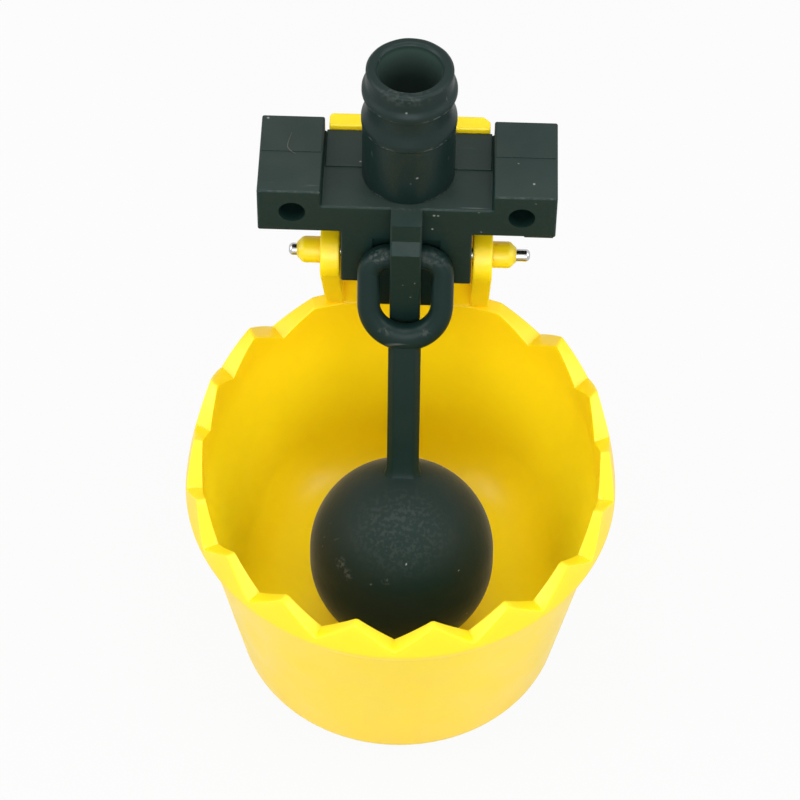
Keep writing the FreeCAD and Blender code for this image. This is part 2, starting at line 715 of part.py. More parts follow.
# Stepped bore: tail socket, seat washer's ledge, outlet
centre_y = (size("block_front") + size("block_back")) / 2
socket = plane_sketch(block, "SocketCircle", "XY_Plane", low)
circle_outline(socket, "0", block_centre, f"{cell('spigot_radius')} + {cell('seat_gap')}",
               (0, centre_y, size("spigot_radius")))
pocket(block, socket, "TailSocket", f"{cell('spigot_length')} + {cell('seat_thickness')}")
outlet = plane_sketch(block, "OutletCircle", "XY_Plane", low)
circle_outline(outlet, "0", block_centre, cell("outlet_radius"), (0, centre_y, size("outlet_radius")))
pocket(block, outlet, "Outlet", f"{low} - {cell('boss_bottom')} + 1")

# Screw holes through the wings, and the pressed hole for the hinge pin
screw_holes = plane_sketch(block, "ScrewHoles", "XZ_Plane", f"-1 * {front}")
for side, number in (("", 1), ("-1 * ", -1)):
    circle_outline(screw_holes, f"{side}{cell('screw_half_spacing')}", cell("screw_height"), cell("screw_radius"),
                   (number * size("screw_half_spacing"), size("screw_height"), size("screw_radius")))
pocket(block, screw_holes, "WingHoles", f"{block_depth} + 1")
press_hole = plane_sketch(block, "PressHole", "YZ_Plane")
circle_outline(press_hole, cell("pin_back"), cell("pin_height"),
               f"{cell('pin_radius')} + {cell('pin_press_gap')}", (pin_y, pin_z, size("pin_radius")))
pocket(block, press_hole, "PinPressHole", f"3 * {column}", midplane=True)

# Hose tail, turned about the inlet's axis

tail = new_body("HoseTail", "hose_tail")
tail_profile = plane_sketch(tail, "TailProfile", "XZ_Plane", f"-1 * {block_centre}")
bore, spigot = cell("bore_radius"), cell("spigot_radius")
shank = cell("shank_radius")
spigot_foot = f"{low} - {cell('spigot_length')}"
mouth = cell("tail_tip_chamfer")


def barb(name):
    """Give the two outer corners of one barb, where its rise ends and where its land ends."""
    start, radius = cell(f"{name}_barb_height"), cell(f"{name}_barb_radius")
    return [(radius, f"{start} + {cell('barb_rise')}"),
            (f"{radius} - {cell('barb_taper')}", f"{start} + {cell('barb_rise')} + {cell('barb_land')}")]


closed_outline(tail_profile, [
    (bore, spigot_foot), (spigot, spigot_foot), (spigot, low), (shank, low),
    (shank, cell("second_barb_height")), *barb("second"),
    (cell("neck_radius"), cell("neck_bottom")), (cell("neck_radius"), cell("first_barb_height")),
    *barb("first"), (cell("tail_tip_radius"), cell("first_barb_top")),
    (cell("tail_tip_radius"), f"{cell('tail_top')} - {mouth}"),
    (f"{cell('tail_tip_radius')} - {mouth}", cell("tail_top")),
    (f"{bore} + {mouth}", cell("tail_top")), (bore, f"{cell('tail_top')} - {mouth}"),
])
axis_line(tail_profile, "0", low, False, (0, size("saddle_top")))
revolve(tail, tail_profile, "Tail")

# Rubber seat washer, clamped under the tail's spigot

washer = new_body("SeatWasher", "seat_washer")
washer_foot = f"{spigot_foot} - {cell('seat_thickness')}"
washer_section = plane_sketch(washer, "WasherSection", "XY_Plane", washer_foot)
circle_outline(washer_section, "0", block_centre, cell("seat_radius"), (0, centre_y, size("seat_radius")))
circle_outline(washer_section, "0", block_centre, cell("seat_hole_radius"),
               (0, centre_y, size("seat_hole_radius")))
pad(washer, washer_section, "Washer", cell("seat_thickness"))

# Valve pin: a flat head over the seat and a stem down to the lever's heel

valve_pin = new_body("ValvePin", "valve_pin")
pin_profile = plane_sketch(valve_pin, "ValvePinProfile", "XZ_Plane", f"-1 * {block_centre}")
stem_foot = f"{cell('hinge_height')} + {cell('heel_half_height')} + {cell('valve_heel_gap')}"
head_foot = f"{spigot_foot} + {cell('valve_lift')}"
head_top = f"{head_foot} + {cell('valve_head_thickness')}"
closed_outline(pin_profile, [
    ("0", stem_foot), (cell("valve_stem_radius"), stem_foot), (cell("valve_stem_radius"), head_foot),
    (cell("valve_head_radius"), head_foot), (cell("valve_head_radius"), head_top), ("0", head_top),
])
axis_line(pin_profile, "0", low, False, (0, size("saddle_top")))
revolve(valve_pin, pin_profile, "Pin")
head_height = (size("saddle_top") - size("spigot_length") + size("valve_lift")
               + size("valve_head_thickness"))
round_edges(valve_pin, "HeadRound", lies_at(head_height), cell("valve_head_round"))

# Float lever: oblong ring, flat stem, journal and heel in one moulding.
# It is drawn upright, with the journal's axis at the origin, and leans forward about it.


def lean_forward(body):
    """Hang a body's own origin on the lever's hinge and lean it forward."""
    body.Placement = Placement(Vector(0, 0, 0), Rotation(Vector(-1, 0, 0), 1))
    body.setExpression("Placement.Base.y", cell("hinge_back"))
    body.setExpression("Placement.Base.z", cell("hinge_height"))
    body.setExpression("Placement.Rotation.Angle", cell("arm_lean"))


arm = new_body("FloatArm", "float_arm")
lean_forward(arm)
ring_wide, ring_long = cell("ring_half_width"), cell("ring_length")
flat, tube = cell("journal_half_length"), cell("ring_tube_radius")
shoulder = f"({ring_wide} - {flat})"
low_centre = f"({ring_long} - {ring_wide})"
tube_size = size("ring_tube_radius")

journal_circle = plane_sketch(arm, "JournalCircle", "YZ_Plane")
circle_outline(journal_circle, "0", "0", tube, (0, 0, tube_size))
pad(arm, journal_circle, "Journal", f"2 * {flat}", midplane=True)


def turned_tube(name, role, offset, across, axis, angle, reversed_way):
    """Turn the tube's circle about a line that runs through the ring's plane."""
    sketch = plane_sketch(arm, f"{name}Circle", role, offset)
    circle_outline(sketch, across[0], "0", tube, (across[1], 0, tube_size))
    axis_line(sketch, axis[0], axis[1], axis[2], axis[3])
    feature = revolve(arm, sketch, name)
    feature.Angle = angle
    feature.Reversed = reversed_way
    return feature


# The ring is the journal, two quarter bends, two straight sides and a half bend at its foot.
shoulder_bend = turned_tube("ShoulderBend", "YZ_Plane", flat, ("0", 0),
                            ("0", f"-1 * {shoulder}", True, (0, -3)), 90.0, False)
side_circle = plane_sketch(arm, "SideCircle", "XY_Plane", f"-1 * {shoulder}")
circle_outline(side_circle, ring_wide, "0", tube, (size("ring_half_width"), 0, tube_size))
side = pad(arm, side_circle, "Side", f"{low_centre} - {shoulder}", reversed_way=True)
doc.recompute()
both_sides = arm.newObject("PartDesign::Mirrored", "BothSides")
both_sides.Originals = [shoulder_bend, side]
both_sides.MirrorPlane = (origin_plane(arm, "YZ_Plane"), [""])
arm.Tip = both_sides
foot_bend = turned_tube("FootBend", "XY_Plane", f"-1 * {low_centre}", (ring_wide, size("ring_half_width")),
                        ("0", "0", False, (0, 0)), 180.0, False)
doc.recompute()

# Stem from the ring down to the ball, with chamfered corners
stem_outline = plane_sketch(arm, "StemOutline", "XY_Plane", f"-1 * {cell('ring_length')}")
stem_half, stem_deep = f"{cell('stem_width')} / 2", f"{cell('stem_thickness')} / 2"
bevel = cell("stem_chamfer")
closed_outline(stem_outline, [
    (f"{stem_half} - {bevel}", f"-1 * {stem_deep}"), (stem_half, f"{bevel} - {stem_deep}"),
    (stem_half, f"{stem_deep} - {bevel}"), (f"{stem_half} - {bevel}", stem_deep),
    (f"{bevel} - {stem_half}", stem_deep), (f"-1 * {stem_half}", f"{stem_deep} - {bevel}"),
    (f"-1 * {stem_half}", f"{bevel} - {stem_deep}"), (f"{bevel} - {stem_half}", f"-1 * {stem_deep}"),
])
ball_top = f"({cell('ball_distance')} - {cell('ball_radius')})"
pad(arm, stem_outline, "Stem", f"{ball_top} - {cell('ring_length')} + {cell('stem_thickness')} / 2",
    reversed_way=True)

# The stem's end is hollowed to sit on the ball, and a round foot plugs the ball's hole.
ball_seat = plane_sketch(arm, "BallSeatProfile", "XZ_Plane")
seat_r, seat_centre = size("ball_radius") + size("ball_seat_gap"), -size("ball_distance")
up = Vector(0, 0, 1)
ball_seat.addGeometry([
    Part.ArcOfCircle(Part.Circle(Vector(0, seat_centre, 0), up, seat_r), -math.pi / 2, math.pi / 2),
    Part.LineSegment(Vector(0, seat_centre + seat_r, 0), Vector(0, seat_centre - seat_r, 0)),
], False)
ball_seat.addConstraint([
    Sketcher.Constraint("Coincident", 0, 2, 1, 1),
    Sketcher.Constraint("Coincident", 1, 2, 0, 1),
    Sketcher.Constraint("PointOnObject", 1, 1, -2),
    Sketcher.Constraint("PointOnObject", 1, 2, -2),
    Sketcher.Constraint("PointOnObject", 0, 3, -2),
])
bind(ball_seat, Sketcher.Constraint("Radius", 0, seat_r),
     f"{cell('ball_radius')} + {cell('ball_seat_gap')}")
bind(ball_seat, Sketcher.Constraint("DistanceY", 0, 3, -1, 1, -seat_centre), cell("ball_distance"))
axis_line(ball_seat, "0", "0", False, (0, 0))
ball_hollow = arm.newObject("PartDesign::Groove", "BallSeat")
ball_hollow.Profile = ball_seat
ball_hollow.ReferenceAxis = (ball_seat, ["Axis0"])
ball_hollow.Angle = 360.0
foot_circle = plane_sketch(arm, "FootCircle", "XY_Plane", f"-1 * ({ball_top} - {cell('foot_root')})")
circle_outline(foot_circle, "0", "0", cell("foot_radius"), (0, 0, size("foot_radius")))
pad(arm, foot_circle, "Foot", f"{cell('foot_length')} + {cell('foot_root')}", reversed_way=True)

# Heel: a level finger from the journal back into the block, which lifts the valve pin
heel_outline = plane_sketch(arm, "HeelOutline", "YZ_Plane", f"-1 * {cell('heel_half_width')}")


def level(back_way, rise):
    """Turn a level point, measured from the journal, into the upright lever's own frame."""
    lean = cell("arm_lean")
    return (f"({back_way}) * cos({lean}) - ({rise}) * sin({lean})",
            f"({back_way}) * sin({lean}) + ({rise}) * cos({lean})")


heel_half, reach = cell("heel_half_height"), cell("heel_reach")
closed_outline(heel_outline, [level("0", f"-1 * {heel_half}"), level(reach, f"-1 * {heel_half}"),
                              level(reach, heel_half), level("0", heel_half)])
pad(arm, heel_outline, "Heel", f"2 * {cell('heel_half_width')}")


def at_heel_end(edge):
    """Pick the edges at the heel's far end that run across it."""
    flat_across = edge.BoundBox.XLength > 2 * size("heel_half_width") - 0.01
    lean = math.radians(size("arm_lean"))
    back_way = edge.CenterOfMass.y * math.cos(lean) + edge.CenterOfMass.z * math.sin(lean)
    return flat_across and back_way > size("heel_reach") - 0.01


round_edges(arm, "HeelRound", at_heel_end, cell("heel_round"))

# Float ball: a hollow sphere whose top hole the lever's foot plugs

ball = new_body("FloatBall", "float_ball")
lean_forward(ball)
ball_profile = plane_sketch(ball, "BallProfile", "XZ_Plane")
outer_r, inner_r = size("ball_radius"), size("ball_radius") - size("ball_wall")
hole = size("foot_radius") + size("ball_seat_gap")
centre = -size("ball_distance")
outer_start, inner_start = math.acos(hole / outer_r), math.acos(hole / inner_r)
down = -math.pi / 2


def on_circle(radius, angle):
    """Give a point of the ball's profile."""
    return Vector(radius * math.cos(angle), centre + radius * math.sin(angle), 0)


ball_profile.addGeometry([
    Part.ArcOfCircle(Part.Circle(Vector(0, centre, 0), up, outer_r), down, outer_start),
    Part.LineSegment(on_circle(outer_r, outer_start), on_circle(inner_r, inner_start)),
    Part.ArcOfCircle(Part.Circle(Vector(0, centre, 0), up, inner_r), down, inner_start),
    Part.LineSegment(on_circle(inner_r, down), on_circle(outer_r, down)),
], False)
ball_profile.addConstraint([
    Sketcher.Constraint("Coincident", 0, 2, 1, 1),
    Sketcher.Constraint("Coincident", 1, 2, 2, 2),
    Sketcher.Constraint("Coincident", 2, 1, 3, 1),
    Sketcher.Constraint("Coincident", 3, 2, 0, 1),
    Sketcher.Constraint("Coincident", 0, 3, 2, 3),
    Sketcher.Constraint("PointOnObject", 0, 3, -2),
    Sketcher.Constraint("PointOnObject", 0, 1, -2),
    Sketcher.Constraint("PointOnObject", 2, 1, -2),
    Sketcher.Constraint("Vertical", 1),
])
bind(ball_profile, Sketcher.Constraint("DistanceY", 0, 3, -1, 1, -centre), cell("ball_distance"))
bind(ball_profile, Sketcher.Constraint("Radius", 0, outer_r), cell("ball_radius"))
bind(ball_profile, Sketcher.Constraint("Radius", 2, inner_r), f"{cell('ball_radius')} - {cell('ball_wall')}")
bind(ball_profile, Sketcher.Constraint("DistanceX", -1, 1, 1, 1, hole),
     f"{cell('foot_radius')} + {cell('ball_seat_gap')}")
axis_line(ball_profile, "0", "0", False, (0, 0))
revolve(ball, ball_profile, "Shell")

# Check every feature and piece, then write one file for each piece

doc.recompute()
for item in doc.Objects:
    if "Invalid" in item.State or "Error" in item.State:
        raise ValueError(f"{item.Label} failed: {item.State}")
os.makedirs("parts", exist_ok=True)
for body in (cup, hinge_pin, block, tail, washer, valve_pin, arm, ball):
    shape = body.Shape
    if shape.isNull() or not shape.isValid() or len(shape.Solids) != 1:
        raise ValueError(f"{body.Label} is not one sound solid")
    shape.exportStep(f"parts/{body.Label}.step")
    box = shape.BoundBox
    print(f"{body.Label}: {shape.Volume:.1f} mm3, x {box.XMin:.2f}..{box.XMax:.2f},"
          f" y {box.YMin:.2f}..{box.YMax:.2f}, z {box.ZMin:.2f}..{box.ZMax:.2f}")
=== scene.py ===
"""Poultry drinking bowl: modelled surfaces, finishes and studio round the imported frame.

The frame holds every piece at its real size and place, in metres: X to the right, Y towards the
wall, Z up, with the origin where the round cup's axis meets the plane of its base. Lengths in the
classes below are in millimetres, and MM turns them into metres where a mesh is written.
"""
from __future__ import annotations

import logging
import math
from dataclasses import dataclass
from enum import Enum

import bpy
import numpy as np
from mathutils import Matrix, Vector

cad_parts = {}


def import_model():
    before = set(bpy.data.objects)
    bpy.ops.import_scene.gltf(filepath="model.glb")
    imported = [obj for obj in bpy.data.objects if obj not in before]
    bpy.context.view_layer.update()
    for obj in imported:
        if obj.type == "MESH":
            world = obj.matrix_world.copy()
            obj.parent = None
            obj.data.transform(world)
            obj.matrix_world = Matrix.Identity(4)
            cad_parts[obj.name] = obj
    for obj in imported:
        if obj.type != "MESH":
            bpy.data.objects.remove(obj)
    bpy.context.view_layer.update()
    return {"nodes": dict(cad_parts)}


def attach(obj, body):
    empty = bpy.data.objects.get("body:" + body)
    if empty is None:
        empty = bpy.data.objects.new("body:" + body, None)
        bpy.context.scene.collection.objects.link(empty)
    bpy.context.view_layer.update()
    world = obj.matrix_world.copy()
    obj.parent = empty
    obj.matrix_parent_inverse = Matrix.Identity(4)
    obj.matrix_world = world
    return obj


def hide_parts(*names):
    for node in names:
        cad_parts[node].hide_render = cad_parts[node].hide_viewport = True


MM = 0.001
LOG = logging.getLogger("drinking_bowl")

# Short names for the types that recur
Piece = bpy.types.Object
Socket = bpy.types.NodeSocket
Pair = tuple[float, float]
Triple = tuple[float, float, float]
Profile = np.ndarray | list[float]


class Body(str, Enum):
    """The bodies of the frame that new pieces ride on."""

    VALVE = "valve"
    CUP = "cup"
    FLOAT = "float"


class Slot(str, Enum):
    """The record's material slots."""

    YELLOW = "yellow_plastic"
    BLACK = "black_plastic"
    FLOAT = "float_plastic"
    STEEL = "steel"
    RUBBER = "rubber"


class Melt(str, Enum):
    """What is done to a piece with other solids."""

    JOIN = "UNION"
    CUT = "DIFFERENCE"


class Axis(Enum):
    """The axis that a profile is turned about."""

    X = "x"
    Z = "z"


# Mesh tools


def add_object(name: str, vertices: np.ndarray, faces: list[tuple[int, ...]]) -> Piece:
    """Make a mesh object at the origin from points in millimetres.

    Args:
        name: the object's name.
        vertices: points, one row each, in millimetres.
        faces: corner indices of each face.

    Returns:
        The new object, linked to the scene.
    """
    mesh = bpy.data.meshes.new(name)
    mesh.from_pydata((np.asarray(vertices, float) * MM).tolist(), [], faces)
    mesh.validate()
    mesh.update()
    piece = bpy.data.objects.new(name, mesh)
    bpy.context.scene.collection.objects.link(piece)
    return piece


def grid_faces(rows: int, columns: int) -> list[tuple[int, ...]]:
    """List the quads of a grid of points whose last column joins the first.

    Args:
        rows: the grid's rows.
        columns: its columns.

    Returns:
        Corner indices of each quad.
    """
    row, column = np.meshgrid(np.arange(rows - 1), np.arange(columns), indexing="ij")
    after = (column + 1) % columns
    quads = np.stack([row * columns + column, row * columns + after,
                      (row + 1) * columns + after, (row + 1) * columns + column], axis=-1)
    return [tuple(quad) for quad in quads.reshape(-1, 4).tolist()]


def closed_surface(name: str, rings: np.ndarray, poles: bool = False) -> Piece:
    """Make a closed surface from rings of points, with a pole or a flat cap at each end.

    The surface is the grid P(row, column), with its columns closed round. A pole joins the first
    or last ring to its own centre, and a cap is one flat face.

    Args:
        name: the object's name.
        rings: points as rows, columns, 3, in millimetres.
        poles: whether the ends close to a centre point instead of a cap.

    Returns:
        The new object, its faces outwards.
    """
    rows, columns, _ = rings.shape
    vertices = rings.reshape(-1, 3)
    faces = grid_faces(rows, columns)
    last = (rows - 1) * columns
    if poles:
        vertices = np.vstack([vertices, rings[0].mean(axis=0), rings[-1].mean(axis=0)])
        low, high = rows * columns, rows * columns + 1
        ring = range(columns)
        faces += [(low, (k + 1) % columns, k) for k in ring]
        faces += [(high, last + k, last + (k + 1) % columns) for k in ring]
    else:
        faces += [tuple(range(columns - 1, -1, -1)), tuple(range(last, last + columns))]
    return face_outwards(add_object(name, vertices, faces))


def looped_surface(name: str, rings: np.ndarray) -> Piece:
    """Make a surface that closes both ways, such as a tube bent into a ring.

    Args:
        name: the object's name.
        rings: points as rows, columns, 3, in millimetres; the last row joins the first.

    Returns:
        The new object, its faces outwards.
    """
    rows, columns, _ = rings.shape
    count = rows * columns
    faces = [tuple(index % count for index in face) for face in grid_faces(rows + 1, columns)]
    return face_outwards(add_object(name, rings.reshape(-1, 3), faces))


def face_outwards(piece: Piece) -> Piece:
    """Turn a closed mesh inside out where its volume comes out negative.

    Args:
        piece: the closed piece.

    Returns:
        The piece.
    """
    mesh = piece.data
    mesh.calc_loop_triangles()
    corners = np.zeros(len(mesh.vertices) * 3)
    mesh.vertices.foreach_get("co", corners)
    corners = corners.reshape(-1, 3)
    index = np.zeros(len(mesh.loop_triangles) * 3, dtype=np.int32)
    mesh.loop_triangles.foreach_get("vertices", index)
    a, b, c = (corners[index.reshape(-1, 3)[:, k]] for k in range(3))
    if np.einsum("ij,ij->i", a, np.cross(b, c)).sum() < 0:
        mesh.flip_normals()
    return piece


def prism(name: str, outline: np.ndarray, along: Triple) -> Piece:
    """Carry a closed outline, its points in space, along a straight line, with flat caps."""
    return closed_surface(name, np.stack([outline, outline + along]))


def circle(steps: int) -> np.ndarray:
    """Give even angles once round, in radians."""
    return np.linspace(0, math.tau, steps, endpoint=False)


def turned(along: Profile, radius: Profile, steps: int, axis: Axis) -> np.ndarray:
    """Turn a profile about an axis.

    Each ring is (s, r cos a, r sin a) about X, and (r cos a, r sin a, s) about Z.

    Args:
        along: each profile point's place s along the axis.
        radius: each profile point's distance r from the axis.
        steps: points round each ring.
        axis: the axis.

    Returns:
        Points as rows, columns, 3.
    """
    angle, out = circle(steps), np.asarray(radius)[:, None]
    line = np.broadcast_to(np.asarray(along)[:, None], (len(along), steps))
    across = [out * np.cos(angle), out * np.sin(angle)]
    return np.stack([line, *across] if axis is Axis.X else [*across, line], axis=-1)


def straight(start: Pair, end: Pair, way: Pair, steps: int) -> tuple[np.ndarray, np.ndarray]:
    """Give points from a start up to an end, and the one outward way at all of them."""
    share = np.linspace(0, 1, steps, endpoint=False)[:, None]
    return np.array(start) + share * (np.array(end) - np.array(start)), np.tile(way, (steps, 1))


def bent(centre: Pair, radius: float, start: float, end: float,
         steps: int) -> tuple[np.ndarray, np.ndarray]:
    """Give points on an arc up to its end, and the outward way at each; angles in degrees.

    Args:
        centre: the arc's centre.
        radius: its radius.
        start: the first point's angle.
        end: the angle that the points stop short of.
        steps: the number of points.

    Returns:
        The points, and the outward way at each.
    """
    angle = np.radians(np.linspace(start, end, steps, endpoint=False))
    way = np.column_stack([np.cos(angle), np.sin(angle)])
    return np.array(centre) + radius * way, way


def arc(centre: Pair, radius: float, start: float, end: float, steps: int) -> np.ndarray:
    """Give points on an arc, both ends included, with angles in degrees."""
    angle = np.radians(np.linspace(start, end, steps))
    return np.stack([centre[0] + radius * np.cos(angle), centre[1] + radius * np.sin(angle)], axis=-1)


def eased(corners: np.ndarray, ease: float | np.ndarray, steps: int = 4) -> np.ndarray:
    """Round the corners of a closed outline.

    Each corner B becomes the curve (1-t)^2 S + 2t(1-t) B + t^2 E, where S and E lie on the two
    edges that meet there, at the easing length from B.

    Args:
        corners: the outline's corners, one row each.
        ease: the easing length, for all corners or for each.
        steps: points on each curve.

    Returns:
        The rounded outline's points.
    """
    reach = np.broadcast_to(ease, len(corners))[:, None]
    back, ahead = np.roll(corners, 1, axis=0) - corners, np.roll(corners, -1, axis=0) - corners
    start = corners + back / np.linalg.norm(back, axis=1)[:, None] * reach
    end = corners + ahead / np.linalg.norm(ahead, axis=1)[:, None] * reach
    t = np.linspace(0, 1, steps)[None, :, None]
    curve = ((1 - t) ** 2 * start[:, None] + 2 * t * (1 - t) * corners[:, None]
             + t ** 2 * end[:, None])
    return curve.reshape(-1, corners.shape[1])


def shade(piece: Piece, angle: float = 32.0) -> Piece:
    """Shade smooth, but keep edges that turn by more than an angle in degrees sharp.

    Args:
        piece: the object to shade.
        angle: the angle.

    Returns:
        The piece.
    """
    piece.data.shade_smooth()
    piece.data.set_sharp_from_angle(angle=math.radians(angle))
    return piece


def settle(piece: Piece) -> Piece:
    """Write a piece's live modifiers into its mesh.

    Args:
        piece: the object with the modifiers.

    Returns:
        The piece.
    """
    graph = bpy.context.evaluated_depsgraph_get()
    mesh = bpy.data.meshes.new_from_object(piece.evaluated_get(graph))
    piece.modifiers.clear()
    piece.data = mesh
    return piece


def soften(piece: Piece, width: float, segments: int = 3, angle: float = 32.0) -> Piece:
    """Round a piece's hard edges with a live bevel and shade it smooth.

    Args:
        piece: the object to finish.
        width: the bevel's width, in millimetres.
        segments: the bevel's steps.
        angle: edges that turn by more than this many degrees are rounded.

    Returns:
        The piece.
    """
    bevel = piece.modifiers.new("rounded_edges", "BEVEL")
    bevel.width = width * MM
    bevel.segments = segments
    bevel.limit_method = "ANGLE"
    bevel.angle_limit = math.radians(angle)
    bevel.harden_normals = True
    return shade(piece)


def even_normals(piece: Piece) -> Piece:
    """Weigh each corner's normal by the faces' areas, so that large flat faces look flat.

    Args:
        piece: the shaded object.

    Returns:
        The piece.
    """
    weighted = piece.modifiers.new("even_normals", "WEIGHTED_NORMAL")
    weighted.keep_sharp = True
    return settle(piece)


def melt(piece: Piece, others: list[Piece], way: Melt) -> None:
    """Join other closed solids to a piece as one moulding, or cut them out, and remove them.

    Args:
        piece: the closed solid that stays.
        others: the solids that go into it or out of it.
        way: whether they are joined or cut.
    """
    for other in others:
        step = piece.modifiers.new(way.name.lower(), "BOOLEAN")
        step.operation = way.value
        step.solver = "EXACT"
        step.object = other
    settle(piece)
    for other in others:
        bpy.data.objects.remove(other)


# Finishes


class NodeNet:
    """The nodes of a material or world, with short calls for those that the finishes use."""

    def __init__(self, owner: bpy.types.Material | bpy.types.World) -> None:
        """Start on the nodes that the owner has from new."""
        owner.use_nodes = True
        self.tree = owner.node_tree

    def add(self, kind: str) -> bpy.types.Node:
        """Add a node of a kind."""
        return self.tree.nodes.new(kind)

    def feed(self, socket: Socket, value: Socket | float | tuple[float, ...]) -> None:
        """Join a source to a socket, or set a number or several numbers on it.

        Args:
            socket: the input.
            value: the source, the number or the numbers.
        """
        if isinstance(value, Socket):
            self.tree.links.new(value, socket)
        else:
            socket.default_value = value

    def coordinates(self, kind: str) -> Socket:
        """Give the Object or Normal coordinates."""
        return self.add("ShaderNodeTexCoord").outputs[kind]

    def part(self, kind: str, axis: str) -> Socket:
        """Give one axis of the Object or Normal coordinates.

        Args:
            kind: Object or Normal.
            axis: X, Y or Z.

        Returns:
            The value along the axis.
        """
        split = self.add("ShaderNodeSeparateXYZ")
        self.feed(split.inputs[0], self.coordinates(kind))
        return split.outputs[axis]

    def noise(self, place: Socket, scale: float, detail: float) -> Socket:
        """Add a noise texture and give its value.

        Args:
            place: the coordinates.
            scale: the noise's scale.
            detail: its finer layers.

        Returns:
            The noise's value.
        """
        node = self.add("ShaderNodeTexNoise")
        node.inputs["Scale"].default_value = scale
        node.inputs["Detail"].default_value = detail
        self.feed(node.inputs["Vector"], place)
        return node.outputs["Fac"]

    def grains(self, place: Socket, scale: float) -> Socket:
        """Add a cell texture and give the distance from each cell's middle.

        Args:
            place: the coordinates.
            scale: the cells' scale.

        Returns:
            The distance.
        """
        node = self.add("ShaderNodeTexVoronoi")
        node.inputs["Scale"].default_value = scale
        self.feed(node.inputs["Vector"], place)
        return node.outputs["Distance"]

    def stretched(self, place: Socket, scale: Triple) -> Socket:
        """Stretch coordinates by a scale along each axis.

        Args:
            place: the coordinates.
            scale: the scale along X, Y and Z.

        Returns:
            The stretched coordinates.
        """
        node = self.add("ShaderNodeMapping")
        node.inputs["Scale"].default_value = scale
        self.feed(node.inputs["Vector"], place)
        return node.outputs["Vector"]

    def ramp(self, source: Socket, low: float, high: float) -> Socket:
        """Give 0 at low and 1 at high, held outside them; low may be the greater."""
        return self.spread(source, 0.0, 1.0, (low, high))

    def spread(self, source: Socket, low: float, high: float, span: Pair = (0.3, 0.7)) -> Socket:
        """Carry a source's span, from most of a noise by default, over to low and high.

        Args:
            source: the value.
            low: the result at the span's first end.
            high: the result at its second end.
            span: the two ends.

        Returns:
            The result, held within low and high.
        """
        node = self.add("ShaderNodeMapRange")
        values = {"From Min": span[0], "From Max": span[1], "To Min": low, "To Max": high}
        for socket, value in {**values, "Value": source}.items():
            self.feed(node.inputs[socket], value)
        return node.outputs["Result"]

    def math(self, operation: str, first: Socket, second: Socket | float) -> Socket:
        """Work out a sum, product or the like of two values.

        Args:
            operation: the name of Blender's operation.
            first: the first value.
            second: the second value.

        Returns:
            The result.
        """
        node = self.add("ShaderNodeMath")
        node.operation = operation
        self.feed(node.inputs[0], first)
        self.feed(node.inputs[1], second)
        return node.outputs["Value"]

    def product(self, first: Socket, second: Socket | float) -> Socket:
        """Multiply two values."""
        return self.math("MULTIPLY", first, second)

    def sum(self, first: Socket, second: Socket) -> Socket:
        """Add two values."""
        return self.math("ADD", first, second)

    def vector(self, operation: str, *values: Socket | Triple) -> bpy.types.Node:
        """Work on vectors, each a source or three numbers, and give the node.

        Args:
            operation: the name of Blender's operation.
            values: the vectors, in order.

        Returns:
            The node, whose outputs are Vector and Value.
        """
        node = self.add("ShaderNodeVectorMath")
        node.operation = operation
        for socket, value in zip(node.inputs, values):
            self.feed(socket, value)
        return node

    def mix(self, share: Socket, first: Socket | Triple, second: Socket | Triple) -> Socket:
        """Mix two colours, each a source or three numbers, by a share.

        Args:
            share: the second colour's share.
            first: the first colour.
            second: the second colour.

        Returns:
            The mixed colour.
        """
        node = self.add("ShaderNodeMix")
        node.data_type = "RGBA"
        self.feed(node.inputs["Factor"], share)
        for colour, socket in ((first, node.inputs[6]), (second, node.inputs[7])):
            self.feed(socket, colour if isinstance(colour, Socket) else (*colour, 1.0))
        return node.outputs[2]

    def nearness(self, place: Socket, pale_mark: PalePatch) -> Socket:
        """Give 1 close to a pale patch's place and 0 beyond its reach, along the masked axes only.

        Args:
            place: the object's coordinates.
            pale_mark: the pale patch.

        Returns:
            The nearness.
        """
        offset = self.vector("SUBTRACT", place, tuple(part * MM for part in pale_mark.place))
        masked = self.vector("MULTIPLY", offset.outputs["Vector"], pale_mark.mask)
        length = self.vector("LENGTH", masked.outputs["Vector"])
        reach = pale_mark.reach * MM
        return self.ramp(length.outputs["Value"], reach, pale_mark.core * reach)

    def painted_light_share(self, glow: PaintedInnerLight) -> Socket:
        """Give 1 low down on faces that look in towards an upright axis or up, and 0 elsewhere.

        The test is minus the product of the direction with (x, y) from the axis, plus the
        direction's upward part times its weight.

        Args:
            glow: the painted light's place.

        Returns:
            The share of the painted light's colour.
        """
        x, y = glow.centre
        inward = self.vector("MULTIPLY_ADD", self.coordinates("Object"), (-1.0, -1.0, 0.0),
                             (x * MM, y * MM, 0.0))
        looks = self.vector("DOT_PRODUCT", self.coordinates("Normal"), inward.outputs["Vector"])
        upward = self.product(self.part("Normal", "Z"), glow.upward)
        facing = self.ramp(self.sum(looks.outputs["Value"], upward), *glow.facing)
        depth = self.ramp(self.part("Object", "Z"), glow.top * MM, glow.bottom * MM)
        return self.product(facing, depth)

    def seen_share(self) -> Socket:
        """Give 1 for rays from the camera and for mirror and glass rays, and 0 for the rest.

        Returns:
            The share.
        """
        path = self.add("ShaderNodeLightPath")
        both = self.math("MAXIMUM", path.outputs["Is Camera Ray"], path.outputs["Is Glossy Ray"])
        return self.math("MAXIMUM", both, path.outputs["Is Transmission Ray"])


